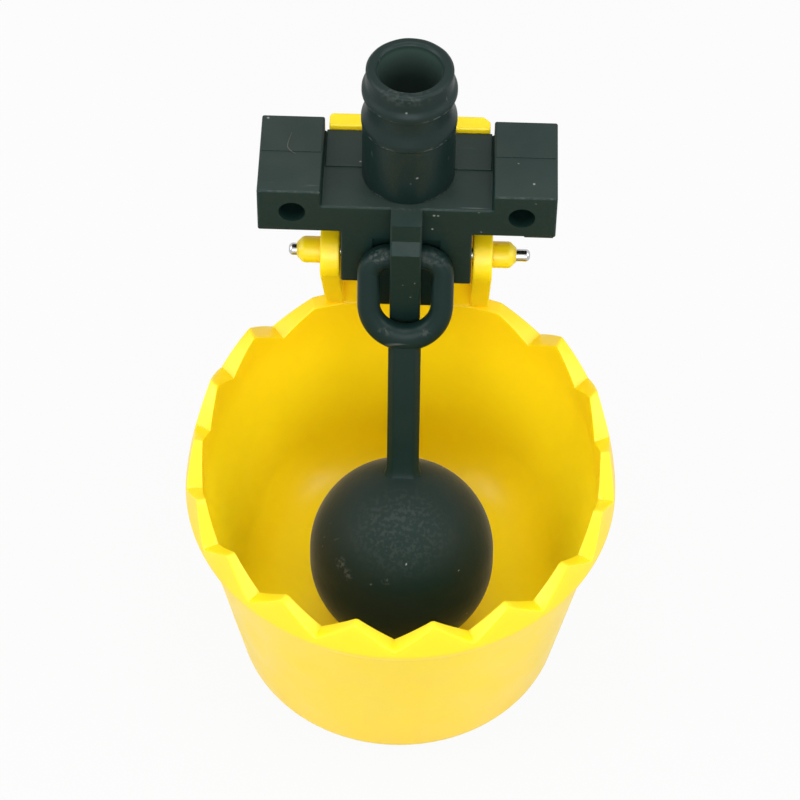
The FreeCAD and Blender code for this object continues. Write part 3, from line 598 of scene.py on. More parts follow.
class SurfaceNet(NodeNet):
    """The nodes of a new material with one Principled shader."""

    def __init__(self, name: str) -> None:
        """Make the material and find its shader.

        Args:
            name: the material's name.
        """
        self.material = bpy.data.materials.new(name)
        super().__init__(self.material)
        self.shader = self.tree.nodes["Principled BSDF"]

    def set(self, **values: Socket | float | tuple[float, ...]) -> None:
        """Feed the shader's sockets, named in lower case with _ for each space.

        Args:
            values: what each socket is fed.
        """
        sockets = {socket.name.lower().replace(" ", "_"): socket for socket in self.shader.inputs}
        for name, value in values.items():
            self.feed(sockets[name], value)

    def bump(self, height: Socket, distance: float) -> None:
        """Drive the shader's normal by a height, whose unit is a distance in metres.

        Args:
            height: the height.
            distance: its unit.
        """
        node = self.add("ShaderNodeBump")
        node.inputs["Distance"].default_value = distance
        self.feed(node.inputs["Height"], height)
        self.set(normal=node.outputs["Normal"])


@dataclass(frozen=True)
class PalePatch:
    """A pale patch: a spot, or an edge where the mask leaves out the axis that it runs along.

    Most patches are painted highlights. It is whole up to its core, a share of its reach, and
    fades out from there.
    """

    place: Triple
    reach: float
    mask: Triple = (1.0, 1.0, 1.0)
    strength: float = 0.7
    core: float = 0.4


@dataclass(frozen=True)
class PaintedInnerLight:
    """A lighter colour low in a hollow round an upright axis, which comes on from top to bottom.

    It is painted light. In the bowl it stands for light through the wall, and it also takes
    faces that look up; in the hose tail it lightens the bore's inner wall.
    """

    colour: Triple = (0.99, 0.75, 0.006)
    top: float = 44.0
    bottom: float = 22.0
    centre: Pair = (0.0, 0.0)
    upward: float = 0.02
    facing: Pair = (0.002, 0.004)


@dataclass(frozen=True)
class MouldedPlastic:
    """A moulded plastic: its colour, gloss, fine skin, dust and scuffs, and the light painted on it.

    Scales are those of noise on metres, and each pair named a span is where a pattern goes from
    nothing to all.
    """

    name: str
    colour: Triple
    mottle: Triple
    roughness: float
    specular: float = 0.5
    skin_depth: float = 0.02
    wave_depth: float = 0.05
    dust: float = 0.0
    scuffs: float = 0.0
    subsurface: float = 0.0
    sheen: float = 0.0
    # A pale film on top faces: painted top light.
    painted_top_light: float = 0.0
    # A lighter colour low inside a hollow: painted light.
    deep: PaintedInnerLight | None = None
    # Pale patches, mostly painted highlights.
    pale_patches: tuple[PalePatch, ...] = ()
    roughness_spread: float = 0.06
    mottle_span: Pair = (0.35, 0.7)
    wave_scale: float = 60.0
    skin_scale: float = 900.0
    patch_scale: float = 162.0
    bump_unit: float = 0.00012
    # The dust's colour, also that of the pale film of painted top light.
    dust_and_top_light_colour: Triple = (0.35, 0.35, 0.33)
    # The pale patches' colour; most patches are painted highlights.
    pale_patch_colour: Triple = (0.12, 0.128, 0.118)
    # Where the painted top light lies, and how patchy it is.
    top_light_level: float = 84.0
    top_light_fade: float = 1.0
    top_light_span: Pair = (0.8, 0.98)
    top_light_thinnest: float = 0.6
    scuff_stretch: Triple = (40.0, 900.0, 260.0)
    scuff_span: Pair = (0.70, 0.74)
    scuffed_scale: float = 90.0
    scuffed_span: Pair = (0.56, 0.66)
    grit_scale: float = 1500.0
    grit_span: Pair = (0.47, 0.60)
    speck_scale: float = 620.0
    speck_span: Pair = (0.16, 0.08)
    thinning_scale: float = 210.0
    thinning_span: Pair = (0.635, 0.66)
    sheen_roughness: float = 0.35
    sheen_tint: Triple = (0.92, 0.88, 0.95)
    glow_radius: Triple = (0.8, 0.7, 0.08)
    glow_scale: float = 0.006

    def build(self) -> bpy.types.Material:
        """Build the node material.

        Colour is the base mixed with its mottle by broad noise. Roughness spreads about its value
        by finer noise. Bump is a fine skin plus long waves.

        Returns:
            The material.
        """
        net = SurfaceNet(self.name)
        place = net.coordinates("Object")
        broad = net.noise(place, self.wave_scale, detail=3.0)
        fine = net.noise(place, self.skin_scale, detail=6.0)
        patches = net.noise(place, self.patch_scale, detail=4.0)
        colour = net.mix(net.ramp(broad, *self.mottle_span), self.colour, self.mottle)
        # A lighter colour low inside a hollow: painted light.
        if self.deep:
            colour = net.mix(net.painted_light_share(self.deep), colour, self.deep.colour)
        # A patchy pale film on top faces: painted top light.
        if self.painted_top_light:
            colour = self.with_painted_top_light(net, patches, colour)
        if self.scuffs:
            colour = self.with_scuffs(net, place, colour)
        # Pale patches, mostly painted highlights.
        if self.pale_patches:
            colour = self.with_pale_patches(net, place, colour)
        if self.dust:
            colour = self.with_specks(net, place, colour)
        low, high = self.roughness - self.roughness_spread, self.roughness + self.roughness_spread
        net.set(base_color=colour, roughness=net.spread(patches, low, high),
                specular_ior_level=self.specular)
        if self.sheen:
            net.set(sheen_weight=self.sheen, sheen_roughness=self.sheen_roughness,
                    sheen_tint=(*self.sheen_tint, 1.0))
        if self.subsurface:
            net.set(subsurface_weight=self.subsurface, subsurface_radius=self.glow_radius,
                    subsurface_scale=self.glow_scale)
        skin, waves = net.product(fine, self.skin_depth), net.product(broad, self.wave_depth)
        net.bump(net.sum(skin, waves), self.bump_unit)
        return net.material

    def with_painted_top_light(self, net: SurfaceNet, patches: Socket, colour: Socket) -> Socket:
        """Paint top light: a patchy pale film on faces that look up, above a level.

        Args:
            net: the material's nodes.
            patches: the noise that thins the painted top light.
            colour: the colour under it.

        Returns:
            The colour with the painted top light.
        """
        low, high = self.top_light_level, self.top_light_level + self.top_light_fade
        above = net.ramp(net.part("Object", "Z"), low * MM, high * MM)
        lies = net.product(net.ramp(net.part("Normal", "Z"), *self.top_light_span), above)
        top_light = net.spread(patches, self.top_light_thinnest * self.painted_top_light, self.painted_top_light)
        return net.mix(net.product(lies, top_light), colour, self.dust_and_top_light_colour)

    def with_scuffs(self, net: SurfaceNet, place: Socket, colour: Socket) -> Socket:
        """Draw scuffs: thin bands of stretched noise, in patches.

        Args:
            net: the material's nodes.
            place: the object's coordinates.
            colour: the colour under them.

        Returns:
            The colour with the scuffs.
        """
        streak = net.noise(net.stretched(place, self.scuff_stretch), 1.0, detail=2.0)
        patch = net.noise(place, self.scuffed_scale, detail=2.0)
        scuff = net.product(net.ramp(streak, *self.scuff_span), net.ramp(patch, *self.scuffed_span))
        return net.mix(net.product(scuff, self.scuffs), colour, self.dust_and_top_light_colour)

    def with_pale_patches(self, net: SurfaceNet, place: Socket, colour: Socket) -> Socket:
        """Lay each pale patch, mostly a painted highlight, broken and fading out at its reach.

        Args:
            net: the material's nodes.
            place: the object's coordinates.
            colour: the colour under them.

        Returns:
            The colour with the pale patches.
        """
        grit = net.ramp(net.noise(place, self.grit_scale, detail=5.0), *self.grit_span)
        for pale_mark in self.pale_patches:
            patched = net.product(net.nearness(place, pale_mark), grit)
            colour = net.mix(net.product(patched, pale_mark.strength), colour, self.pale_patch_colour)
        return colour

    def with_specks(self, net: SurfaceNet, place: Socket, colour: Socket) -> Socket:
        """Scatter dust: the middles of cells, thinned by a second noise.

        Args:
            net: the material's nodes.
            place: the object's coordinates.
            colour: the colour under it.

        Returns:
            The colour with the specks.
        """
        grain = net.ramp(net.grains(place, self.speck_scale), *self.speck_span)
        thin = net.noise(place, self.thinning_scale, detail=3.0)
        speck = net.product(grain, net.ramp(thin, *self.thinning_span))
        return net.mix(net.product(speck, self.dust), colour, self.dust_and_top_light_colour)


@dataclass(frozen=True)
class BrightSteel:
    """Drawn steel wire: bright, with fine lines along its length."""

    name: str = "drawn_steel"
    colour: Triple = (0.56, 0.56, 0.55)
    dull_share: float = 0.8
    roughness: Pair = (0.11, 0.26)
    line_stretch: Triple = (60.0, 4000.0, 4000.0)
    line_span: Pair = (0.3, 0.75)
    line_depth: float = 0.2
    bump_unit: float = 0.00002

    def build(self) -> bpy.types.Material:
        """Build the node material: long thin noise along X gives the drawing lines.

        Returns:
            The material.
        """
        net = SurfaceNet(self.name)
        place = net.coordinates("Object")
        lines = net.noise(net.stretched(place, self.line_stretch), 1.0, detail=3.0)
        dull = tuple(self.dull_share * part for part in self.colour)
        net.set(metallic=1.0, roughness=net.spread(lines, *self.roughness),
                base_color=net.mix(net.ramp(lines, *self.line_span), self.colour, dull))
        net.bump(net.product(lines, self.line_depth), self.bump_unit)
        return net.material


YELLOW_MOULDING = MouldedPlastic(
    "yellow_moulding", (0.96, 0.66, 0.004), (0.95, 0.64, 0.004), 0.38, skin_depth=0.05,
    # A lighter colour low inside the bowl: painted light.
    wave_depth=0.10, subsurface=0.45, deep=PaintedInnerLight())

BLOCK_MOULDING = MouldedPlastic(
    "block_moulding", (0.003, 0.016, 0.013), (0.006, 0.018, 0.014), 0.48, specular=0.2,
    # A pale film on the block's top faces: painted top light.
    skin_depth=0.35, wave_depth=0.35, dust=0.6, scuffs=0.2, painted_top_light=0.04,
    # Painted highlights along the wings' front and outer top edges and the saddle's front top edge.
    pale_patches=(PalePatch((0, 16.9, 89.8), 0.30, (0, 1, 1), 0.22),
          PalePatch((0, 16.9, 86.6), 0.30, (0.022, 1, 1), 0.15),
          *(PalePatch((side * 23.45, 0, 89.8), 0.25, (1, 0, 1), 0.2) for side in (-1, 1))))

TAIL_MOULDING = MouldedPlastic(
    "tail_moulding", (0.003, 0.013, 0.011), (0.005, 0.014, 0.012), 0.46, specular=0.2,
    skin_depth=0.3, wave_depth=0.3, dust=0.45, scuffs=0.15,
    # A lighter colour on the bore's inner wall: painted light.
    deep=PaintedInnerLight((0.035, 0.06, 0.05), 109.2, 108.0, (0.0, 25.225), upward=0.0),
    # Painted highlights: on the barbs at front left and right, round the tail's foot, and at the
    # mouth's front.
    pale_patches=(*(PalePatch((side * 4.8, 19.6, level), 1.9, (0.5, 0.3, 5), 0.5)
            for level in (104.5, 98.3) for side in (-1, 1)),
          PalePatch((-4.6, 19.8, 86.7), 1.6, (0.6, 0.4, 4), 0.5),
          PalePatch((4.9, 19.8, 86.7), 1.6, (0.5, 0.4, 4), 0.45),
          PalePatch((-0.5, 20.1, 109.2), 0.6, (0.14, 1, 1), 0.4),
          PalePatch((-1.2, 18.7, 108.7), 2.2, (0.35, 1, 1.6), 0.16)))

LEVER_MOULDING = MouldedPlastic(
    "lever_moulding", (0.003, 0.014, 0.012), (0.005, 0.015, 0.013), 0.42, specular=0.14,
    skin_depth=0.25, wave_depth=0.3, dust=0.5, scuffs=0.2,
    # Painted highlights on the ring: its top arcs, its foot either side of the stem, and two short
    # lines near the window's top.
    pale_patches=(PalePatch((-4.0, 14.1, 78.4), 2.0, (0.7, 1, 1.5), 0.3),
          PalePatch((4.6, 14.1, 78.2), 2.4, (0.7, 1, 1.5), 0.16),
          *(PalePatch((side * 3.0, 9.0, 65.6), 1.6, (0.8, 1, 1.6), 0.3) for side in (-1, 1)),
          PalePatch((-2.5, 13.6, 73.5), 0.5, (1, 0.2, 0.15), 0.2),
          PalePatch((2.6, 13.6, 73.5), 0.5, (1, 0.2, 0.15), 0.2)))

BALL_MOULDING = MouldedPlastic(
    "float_moulding", (0.004, 0.017, 0.014), (0.011, 0.018, 0.015), 0.58, specular=0.12,
    skin_depth=0.3, wave_depth=0.3, dust=0.8, scuffs=0.2, sheen=0.25,
    # Three small pale spots on the front, then a broad painted highlight high on the ball's front.
    pale_patches=(PalePatch((-9.6, -11.3, 31.4), 1.5, strength=0.4),
          PalePatch((-8.2, -12.6, 30.4), 1.3, strength=0.35),
          PalePatch((-1.8, -14.9, 31.9), 1.0, strength=0.3),
          PalePatch((0.4, -8.8, 37.6), 9.0, (0.9, 1, 1), 0.1)))

TRIMMED_BURR = MouldedPlastic(
    "trimmed_burr", (0.055, 0.055, 0.045), (0.07, 0.068, 0.058), 0.6, specular=0.3, skin_depth=0.3)

SEAT_RUBBER = MouldedPlastic(
    "seat_rubber", (0.02, 0.02, 0.02), (0.03, 0.03, 0.03), 0.7, specular=0.3, skin_depth=0.4)


class Finishes:
    """The drinker's materials, each built once."""

    def __init__(self) -> None:
        """Build every material."""
        self.yellow = YELLOW_MOULDING.build()
        self.block = BLOCK_MOULDING.build()
        self.tail = TAIL_MOULDING.build()
        self.lever = LEVER_MOULDING.build()
        self.ball = BALL_MOULDING.build()
        self.burr = TRIMMED_BURR.build()
        self.steel = BrightSteel().build()
        self.rubber = SEAT_RUBBER.build()


def dress(piece: Piece, finish: bpy.types.Material) -> None:
    """Give a piece its material, and report it.

    Args:
        piece: the object.
        finish: its material.
    """
    piece.data.materials.clear()
    piece.data.materials.append(finish)
    LOG.info("%s: %s, %d points", piece.name, finish.name, len(piece.data.vertices))


def hand_over(piece: Piece, finish: bpy.types.Material, body: Body,
              node: str | None = None) -> None:
    """Dress a new piece and let it ride on its body, in place of its node.

    Args:
        piece: the finished piece.
        finish: its material.
        body: the body that it moves with.
        node: the frame's node that it stands for, if it does.
    """
    dress(piece, finish)
    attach(piece, body.value)
    if node:
        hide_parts(node)


# The cup


@dataclass(frozen=True)
class Columns:
    """The grid's columns round the right half of the cup's plan.

    Each has the stretch of the plan that it is on, its share along it, and the rim's dip there,
    from 0 at a tip to 1 in a valley.
    """

    stretch: np.ndarray
    share: np.ndarray
    dip: np.ndarray


@dataclass(frozen=True)
class Wall:
    """One side of the cup's wall: knots of height, front and corner radius, and Y of its back."""

    knots: np.ndarray
    back: float


@dataclass
class CupMoulding:
    """The yellow cup with its toothed rim, back plate, ears and pin bosses, one moulding."""

    rim_height: float = 45.0
    rim_front: float = 34.0
    rim_corner: float = 26.4
    rim_wall: float = 1.5
    crease_height: float = 38.4
    crease_front: float = 35.4
    crease_corner: float = 24.9
    crease_ease: float = 1.3
    neck_height: float = 36.4
    neck_overhang: float = 2.1
    base_front: float = 26.65
    base_corner: float = 18.0
    base_round: float = 3.2
    side_turn: float = 15.4
    back_face: float = 36.5
    back_wall: float = 2.8
    floor: float = 2.4
    lower_wall: float = 1.6
    bowl_draft: float = 0.2
    floor_round: float = 9.0
    tooth_depth: float = 4.6
    front_pitch: float = 21.0
    front_teeth: int = 4
    side_pitch: float = 13.0
    side_teeth: int = 3
    tip_flat: float = 0.45
    column_step: float = 0.9
    crease_rows: int = 8
    base_rows: int = 10
    wall_rows: int = 11
    lip_rows: int = 5
    inner_rows: int = 15
    floor_rows: int = 13
    disc_shares: Triple = (0.25, 0.5, 0.75)
    plate_half: float = 12.85
    plate_sunk: float = 8.0
    plate_top: float = 87.7
    plate_chamfer: Pair = (0.5, 1.1)
    plate_lean: Pair = (0.15, -0.075)
    ear_inner: float = 10.65
    ear_thickness: float = 3.1
    ear_sunk: float = 0.6
    ear_back_top: float = 79.6
    ear_foot: Pair = (33.9, 44.5)
    pin: Pair = (21.4, 71.7)
    lobe: float = 4.5
    lobe_steps: int = 25
    boss: float = 2.15
    boss_shoulder: float = 16.55
    shoulder_ease: Triple = (0.25, 0.15, 0.12)
    boss_end: float = 17.6
    boss_tip: float = 1.2
    tip_ease: Triple = (0.12, 0.06, 0.1)
    boss_steps: int = 48
    pin_bore: float = 1.05
    bore_spare: float = 2.0
    bore_steps: int = 40
    edge_round: float = 0.3
    rim_angle: float = 24.0
    lobe_angle: float = 50.0

    def outline(self, columns: Columns, front: np.ndarray, corner: np.ndarray,
                back: np.ndarray) -> np.ndarray:
        """Give points of the D-shaped plan.

        Half the outline has four stretches: a quarter of the front circle about the origin, a
        slightly bowed side that turns by side_turn, a corner that turns the rest of the way, and
        half of the straight back. Each point is at a share of its stretch, so the same share on
        two heights gives a straight rib up the wall.

        Args:
            columns: the grid's columns.
            front: radius of the front circle for each point.
            corner: radius of the corner for each point.
            back: Y of the straight back for each point.

        Returns:
            X and Y of each point of the right half.
        """
        share, turn = columns.share, math.radians(self.side_turn)
        side = corner + (back - corner) / math.sin(turn)
        side_x = front - side
        corner_x = side_x + (side - corner) * math.cos(turn)
        front_angle = (share - 1) * math.pi / 2
        side_angle = share * turn
        corner_angle = turn + share * (math.pi / 2 - turn)
        x = np.choose(columns.stretch,
                      [front * np.cos(front_angle), side_x + side * np.cos(side_angle),
                       corner_x + corner * np.cos(corner_angle), corner_x * (1 - share)])
        y = np.choose(columns.stretch,
                      [front * np.sin(front_angle), side * np.sin(side_angle),
                       back - corner + corner * np.sin(corner_angle), back + 0 * share])
        return np.stack([x, y], axis=-1)

    def columns(self) -> Columns:
        """Place the grid's columns round the right half.

        Columns stand at every valley and at both edges of every blunt tip, with even steps
        between. The rim dips linearly from a tip's edge to the valley.

        Returns:
            The columns.
        """
        turn = math.radians(self.side_turn)
        side = self.rim_corner + (self.back_face - self.rim_corner) / math.sin(turn)
        corner_x = self.rim_front - side + (side - self.rim_corner) * math.cos(turn)
        lengths = [self.rim_front * math.pi / 2, side * turn,
                   self.rim_corner * (math.pi / 2 - turn), corner_x]
        total = sum(lengths)
        pitches = [self.rim_front * math.radians(self.front_pitch)] * self.front_teeth
        pitches += [self.side_pitch] * self.side_teeth
        half_tip = self.tip_flat / 2
        marks, valley = [(0.0, 1.0)], 0.0
        for pitch in pitches:
            tip = valley + pitch / 2
            valley += pitch
            marks += [(tip - half_tip, 0.0), (tip + half_tip, 0.0), (valley, 1.0)]
        marks += [(valley + self.side_pitch / 2 - half_tip, 0.0), (total, 0.0)]
        along, dip = [], []
        for (start, low), (end, high) in zip(marks, marks[1:]):
            ways = np.linspace(0, 1, max(1, round((end - start) / self.column_step)), endpoint=False)
            along.append(start + ways * (end - start))
            dip.append(low + ways * (high - low))
        line = np.append(np.concatenate(along), total)
        breaks = np.cumsum([0.0, *lengths])
        last = len(lengths) - 1
        stretch = np.clip(np.searchsorted(breaks, line, side="right") - 1, 0, last)
        share = (line - breaks[stretch]) / np.array(lengths)[stretch]
        return Columns(stretch, np.clip(share, 0, 1), np.append(np.concatenate(dip), 0.0))

    def outer_knots(self) -> np.ndarray:
        """Give the knots of the outer wall from the neck up over the crease's rounding.

        The wall runs straight from the base to the neck and out to the crease, whose corner is a
        quadratic curve, (1-t)^2 A + 2t(1-t) B + t^2 C, from half way up to it to a point after it.

        Returns:
            Height, front radius and corner radius of each knot.
        """
        neck = np.array([self.neck_height, self.crease_front - self.neck_overhang,
                         self.crease_corner - self.neck_overhang])
        crease = np.array([self.crease_height, self.crease_front, self.crease_corner])
        lip = np.array([self.rim_height, self.rim_front, self.rim_corner])
        way = self.crease_ease / (self.rim_height - self.crease_height)
        before, after = crease + 0.5 * (neck - crease), crease + way * (lip - crease)
        t = np.linspace(0, 1, self.crease_rows)[:, None]
        curve = (1 - t) ** 2 * before + 2 * t * (1 - t) * crease + t ** 2 * after
        return np.vstack([neck, curve])

    def ring(self, columns: Columns, wall: Wall, height: np.ndarray | float,
             inset: float = 0.0) -> np.ndarray:
        """Give one ring, whose radii come from the wall's straight lines at its height.

        Args:
            columns: the grid's columns.
            wall: the side of the wall that it lies on.
            height: its height, for all columns or for each.
            inset: how far a rounding draws it in from the wall.

        Returns:
            The ring's points.
        """
        ones = np.ones(len(columns.share))
        high = height * ones
        front, corner = (np.interp(high, wall.knots[:, 0], wall.knots[:, k]) - inset for k in (1, 2))
        plan = self.outline(columns, front, corner, (wall.back - inset) * ones)
        return np.column_stack([plan, high])

    @staticmethod
    def disc(edge: np.ndarray, shares: tuple[float, ...]) -> list[np.ndarray]:
        """Shrink a level ring towards its middle by each share, to carry the surface inwards."""
        middle = np.array([0, edge[:, 1].mean(), edge[0, 2]])
        return [middle + (edge - middle) * share for share in shares]

    def rings(self) -> np.ndarray:
        """Work out every ring of the cup from the base's centre up, over the rim and down inside.

        The base's and the floor's roundings draw their rings in by r - sqrt(r^2 - (r - z)^2).
        From the crease up, the outer rings spread evenly up to the toothed rim, and the inner
        ones from the rim down to the floor's rounding.

        Returns:
            Points as rows, columns, 3.
        """
        columns, knots = self.columns(), self.outer_knots()
        rim = self.rim_height - self.tooth_depth * columns.dip
        mouth = (self.rim_front - self.rim_wall, self.rim_corner - self.rim_wall)
        base = [0.0, self.base_front, self.base_corner]
        lip = [self.rim_height, self.rim_front, self.rim_corner]
        outer = Wall(np.vstack([base, knots, lip]), self.back_face)
        floor = [self.floor, *(radius - self.lower_wall for radius in base[1:])]
        shoulder = [self.crease_height, *(radius - self.bowl_draft for radius in mouth)]
        inner = Wall(np.array([floor, shoulder, [self.rim_height, *mouth]]),
                     self.back_face - self.back_wall)
        rows = []
        for angle in np.radians(np.linspace(-90, 0, self.base_rows)):
            height = self.base_round * (1 + math.sin(angle))
            rows.append(self.ring(columns, outer, height, self.base_round * (1 - math.cos(angle))))
        rows = self.disc(rows[0], self.disc_shares) + rows
        below_neck = np.linspace(self.base_round, self.neck_height, self.wall_rows)[1:-1]
        rows += [self.ring(columns, outer, height) for height in (*below_neck, *knots[:, 0])]
        last = knots[-1, 0]
        rows += [self.ring(columns, outer, last + way * (rim - last))
                 for way in np.linspace(0, 1, self.lip_rows)[1:]]
        inner_rim = self.ring(columns, inner, rim)
        rows += [rows[-1] + way * (inner_rim - rows[-1]) for way in (1 / 3, 2 / 3)]
        round_top = self.floor + self.floor_round
        rows += [self.ring(columns, inner, rim + way * (round_top - rim))
                 for way in np.linspace(0, 1, self.inner_rows)]
        for angle in np.radians(np.linspace(0, -90, self.floor_rows))[1:]:
            height = round_top + self.floor_round * math.sin(angle)
            rows.append(self.ring(columns, inner, height, self.floor_round * (1 - math.cos(angle))))
        rows += self.disc(rows[-1], self.disc_shares[::-1])
        half = np.stack(rows)
        other = half[:, -2:0:-1] * np.array([-1.0, 1.0, 1.0])
        return np.concatenate([half, other], axis=1)

    def plate(self) -> Piece:
        """Carry the back plate's plan, a bar with its two back corners cut off, up from the rim.

        The front face leans: it starts inside the bowl's back wall and stands a little proud of
        it at the top, so the wall runs on into the plate with no edge between them.

        Returns:
            The plate.
        """
        half, (left, right) = self.plate_half, self.plate_chamfer
        front, back = self.back_face - self.back_wall, self.back_face
        plan = np.array([(-half, front, 0), (half, front, 0), (half, back - right, 0),
                         (half - right, back, 0), (left - half, back, 0), (-half, back - left, 0)])
        levels = (self.rim_height - self.plate_sunk, self.plate_top)
        rings = np.stack([plan + (0, 0, level) for level in levels])
        rings[:, :2, 1] += np.array(self.plate_lean)[:, None]
        return settle(soften(closed_surface("plate", rings), self.edge_round))

    def ear(self, side: int) -> Piece:
        """Carry the ear's side view, straight edges tangent to a round lobe, across its thickness.

        Args:
            side: 1 for the right ear and -1 for the left.

        Returns:
            The ear.
        """
        rear = (self.back_face - self.ear_sunk, self.ear_back_top)
        start, end = self.touch(rear, 1), self.touch(self.ear_foot, -1) + 360
        lobe = arc(self.pin, self.lobe, start, end, self.lobe_steps)
        view = np.vstack([[rear[0], self.ear_foot[1]], rear, lobe, self.ear_foot])
        outline = np.column_stack([np.full(len(view), side * self.ear_inner), view])
        piece = prism("ear", outline, (side * self.ear_thickness, 0, 0))
        return settle(soften(piece, self.edge_round, angle=self.lobe_angle))

    def touch(self, corner: Pair, way: int) -> float:
        """Give the angle in degrees where a line from a corner touches the lobe, on one side.

        Args:
            corner: Y and Z of the corner.
            way: 1 for the upper side and -1 for the lower.

        Returns:
            The angle about the pin.
        """
        reach = np.array(corner) - self.pin
        bend = way * math.acos(self.lobe / np.hypot(*reach))
        return math.degrees(math.atan2(reach[1], reach[0]) + bend)

    def pin_boss(self, side: int) -> Piece:
        """Turn the boss's profile, a cylinder with a coned end, about the pin's line.

        Args:
            side: 1 for the right boss and -1 for the left.

        Returns:
            The boss.
        """
        before, after, drop = self.shoulder_ease
        back, up, down = self.tip_ease
        along = np.array([self.ear_inner + self.ear_thickness / 2, self.boss_shoulder - before,
                          self.boss_shoulder + after, self.boss_end - back, self.boss_end])
        radius = [self.boss, self.boss, self.boss - drop, self.boss_tip + up, self.boss_tip - down]
        rings = turned(side * along, radius, self.boss_steps, Axis.X) + (0, *self.pin)
        return closed_surface("boss", rings)

    def bore(self) -> Piece:
        """Turn the cylinder that the pin's hole is cut with.

        Returns:
            The cylinder.
        """
        reach = self.boss_end + self.bore_spare
        rings = turned([-reach, reach], [self.pin_bore] * 2, self.bore_steps, Axis.X)
        return closed_surface("bore", rings + (0, *self.pin))

    def build(self, finishes: Finishes) -> None:
        """Make the moulding: the toothed shell, then plate, ears and bosses melted into it.

        Args:
            finishes: the materials.
        """
        shell = closed_surface("yellow_cup", self.rings(), poles=True)
        settle(soften(shell, self.edge_round, segments=2, angle=self.rim_angle))
        parts = [self.plate()]
        for side in (1, -1):
            parts += [self.ear(side), self.pin_boss(side)]
        melt(shell, parts, Melt.JOIN)
        melt(shell, [self.bore()], Melt.CUT)
        even_normals(shade(shell))
        hand_over(shell, finishes.yellow, Body.CUP, "cup")


# The valve block and its hose tail


@dataclass
class BlockMoulding:
    """The black valve block: the frame's own solid, with the step where its mould halves meet."""

    wing_top: float = 89.8
    saddle_top: float = 86.6
    wing_half: float = 23.45
    saddle_half: float = 13.46
    back: float = 33.55
    parting: float = 25.6
    inset: float = 0.3
    wing_step: float = 0.13
    saddle_step: float = 0.28
    sunk: float = 0.2
    rim_angle: float = 50.0
    tail_centre: Pair = (0.0, 25.225)
    tail_radius: float = 7.1
    bend_start: float = 85.0
    bend_steps: int = 24
    burr: tuple[Pair, ...] = ((-18.55, 29.9), (-19.0, 27.4), (-18.9, 26.1), (-17.6, 24.9))
    burr_radius: float = 0.1
    burr_ends: Pair = (0.02, 0.98)
    burr_rows: int = 40
    burr_steps: int = 10

    def half_skin(self, name: str, plan: np.ndarray, top: float, step: float) -> Piece:
        """Carry a plan up from under the block's top to the step over it, and ease its rim.

        Args:
            name: the piece's name.
            plan: X and Y of the plan's corners.
            top: the height of the block's face under it.
            step: how far it stands above that face.

        Returns:
            The raised skin of the rear mould half.
        """
        outline = np.column_stack([plan, np.full(len(plan), top - self.sunk)])
        piece = prism(name, outline, (0, 0, self.sunk + step))
        return soften(piece, step / 2, segments=2, angle=self.rim_angle)

    def skins(self) -> list[Piece]:
        """Make the rear half's raised skins on both wings and on the saddle beside the tail.

        Returns:
            The four skins.
        """
        rear, pieces = self.back - self.inset, []
        near, far = self.saddle_half + self.inset, self.wing_half - self.inset
        wing = np.array([(near, self.parting), (far, self.parting), (far, rear), (near, rear)])
        start = math.degrees(math.asin((self.parting - self.tail_centre[1]) / self.tail_radius))
        bend = arc(self.tail_centre, self.tail_radius, self.bend_start, start, self.bend_steps)
        edge = self.saddle_half - self.inset
        saddle = np.vstack([bend, [(edge, self.parting), (edge, self.back), (bend[0, 0], self.back)]])
        for flip, word in ((np.array([-1, 1]), "left"), (np.array([1, 1]), "right")):
            pieces.append(self.half_skin(f"{word}_wing_skin", wing * flip, self.wing_top,
                                         self.wing_step))
            pieces.append(self.half_skin(f"{word}_saddle_skin", saddle * flip, self.saddle_top,
                                         self.saddle_step))
        return pieces

    def burr_line(self) -> Piece:
        """Carry a small circle along a curve through the burr's points, thinning to its ends.

        The curve is a cubic in t fitted through the points, and the radius is that of the burr
        times sqrt(sin(pi t)).

        Returns:
            The burr.
        """
        points = np.array(self.burr)
        knots = np.linspace(0, 1, len(points))
        t = np.linspace(*self.burr_ends, self.burr_rows)
        line = np.column_stack([np.polyval(np.polyfit(knots, points[:, k], 3), t) for k in (0, 1)])
        ahead = np.gradient(line, axis=0)
        across = np.column_stack([-ahead[:, 1], ahead[:, 0]]) / np.linalg.norm(ahead, axis=1)[:, None]
        angle = circle(self.burr_steps)
        radius = self.burr_radius * np.sqrt(np.sin(math.pi * t))[:, None]
        flat = line[:, None] + across[:, None] * (radius * np.cos(angle))[..., None]
        height = self.wing_top + self.wing_step + radius * np.sin(angle)
        rings = np.concatenate([flat, height[..., None]], axis=-1)
        return shade(closed_surface("wing_burr", rings, poles=True))

    def build(self, node: Piece, finishes: Finishes) -> None:
        """Dress the frame's block and lay the mould's marks on it.

        Args:
            node: the frame's valve body.
            finishes: the materials.
        """
        dress(node, finishes.block)
        shade(node)
        for skin in self.skins():
            hand_over(skin, finishes.block, Body.VALVE)
        hand_over(self.burr_line(), finishes.burr, Body.VALVE)


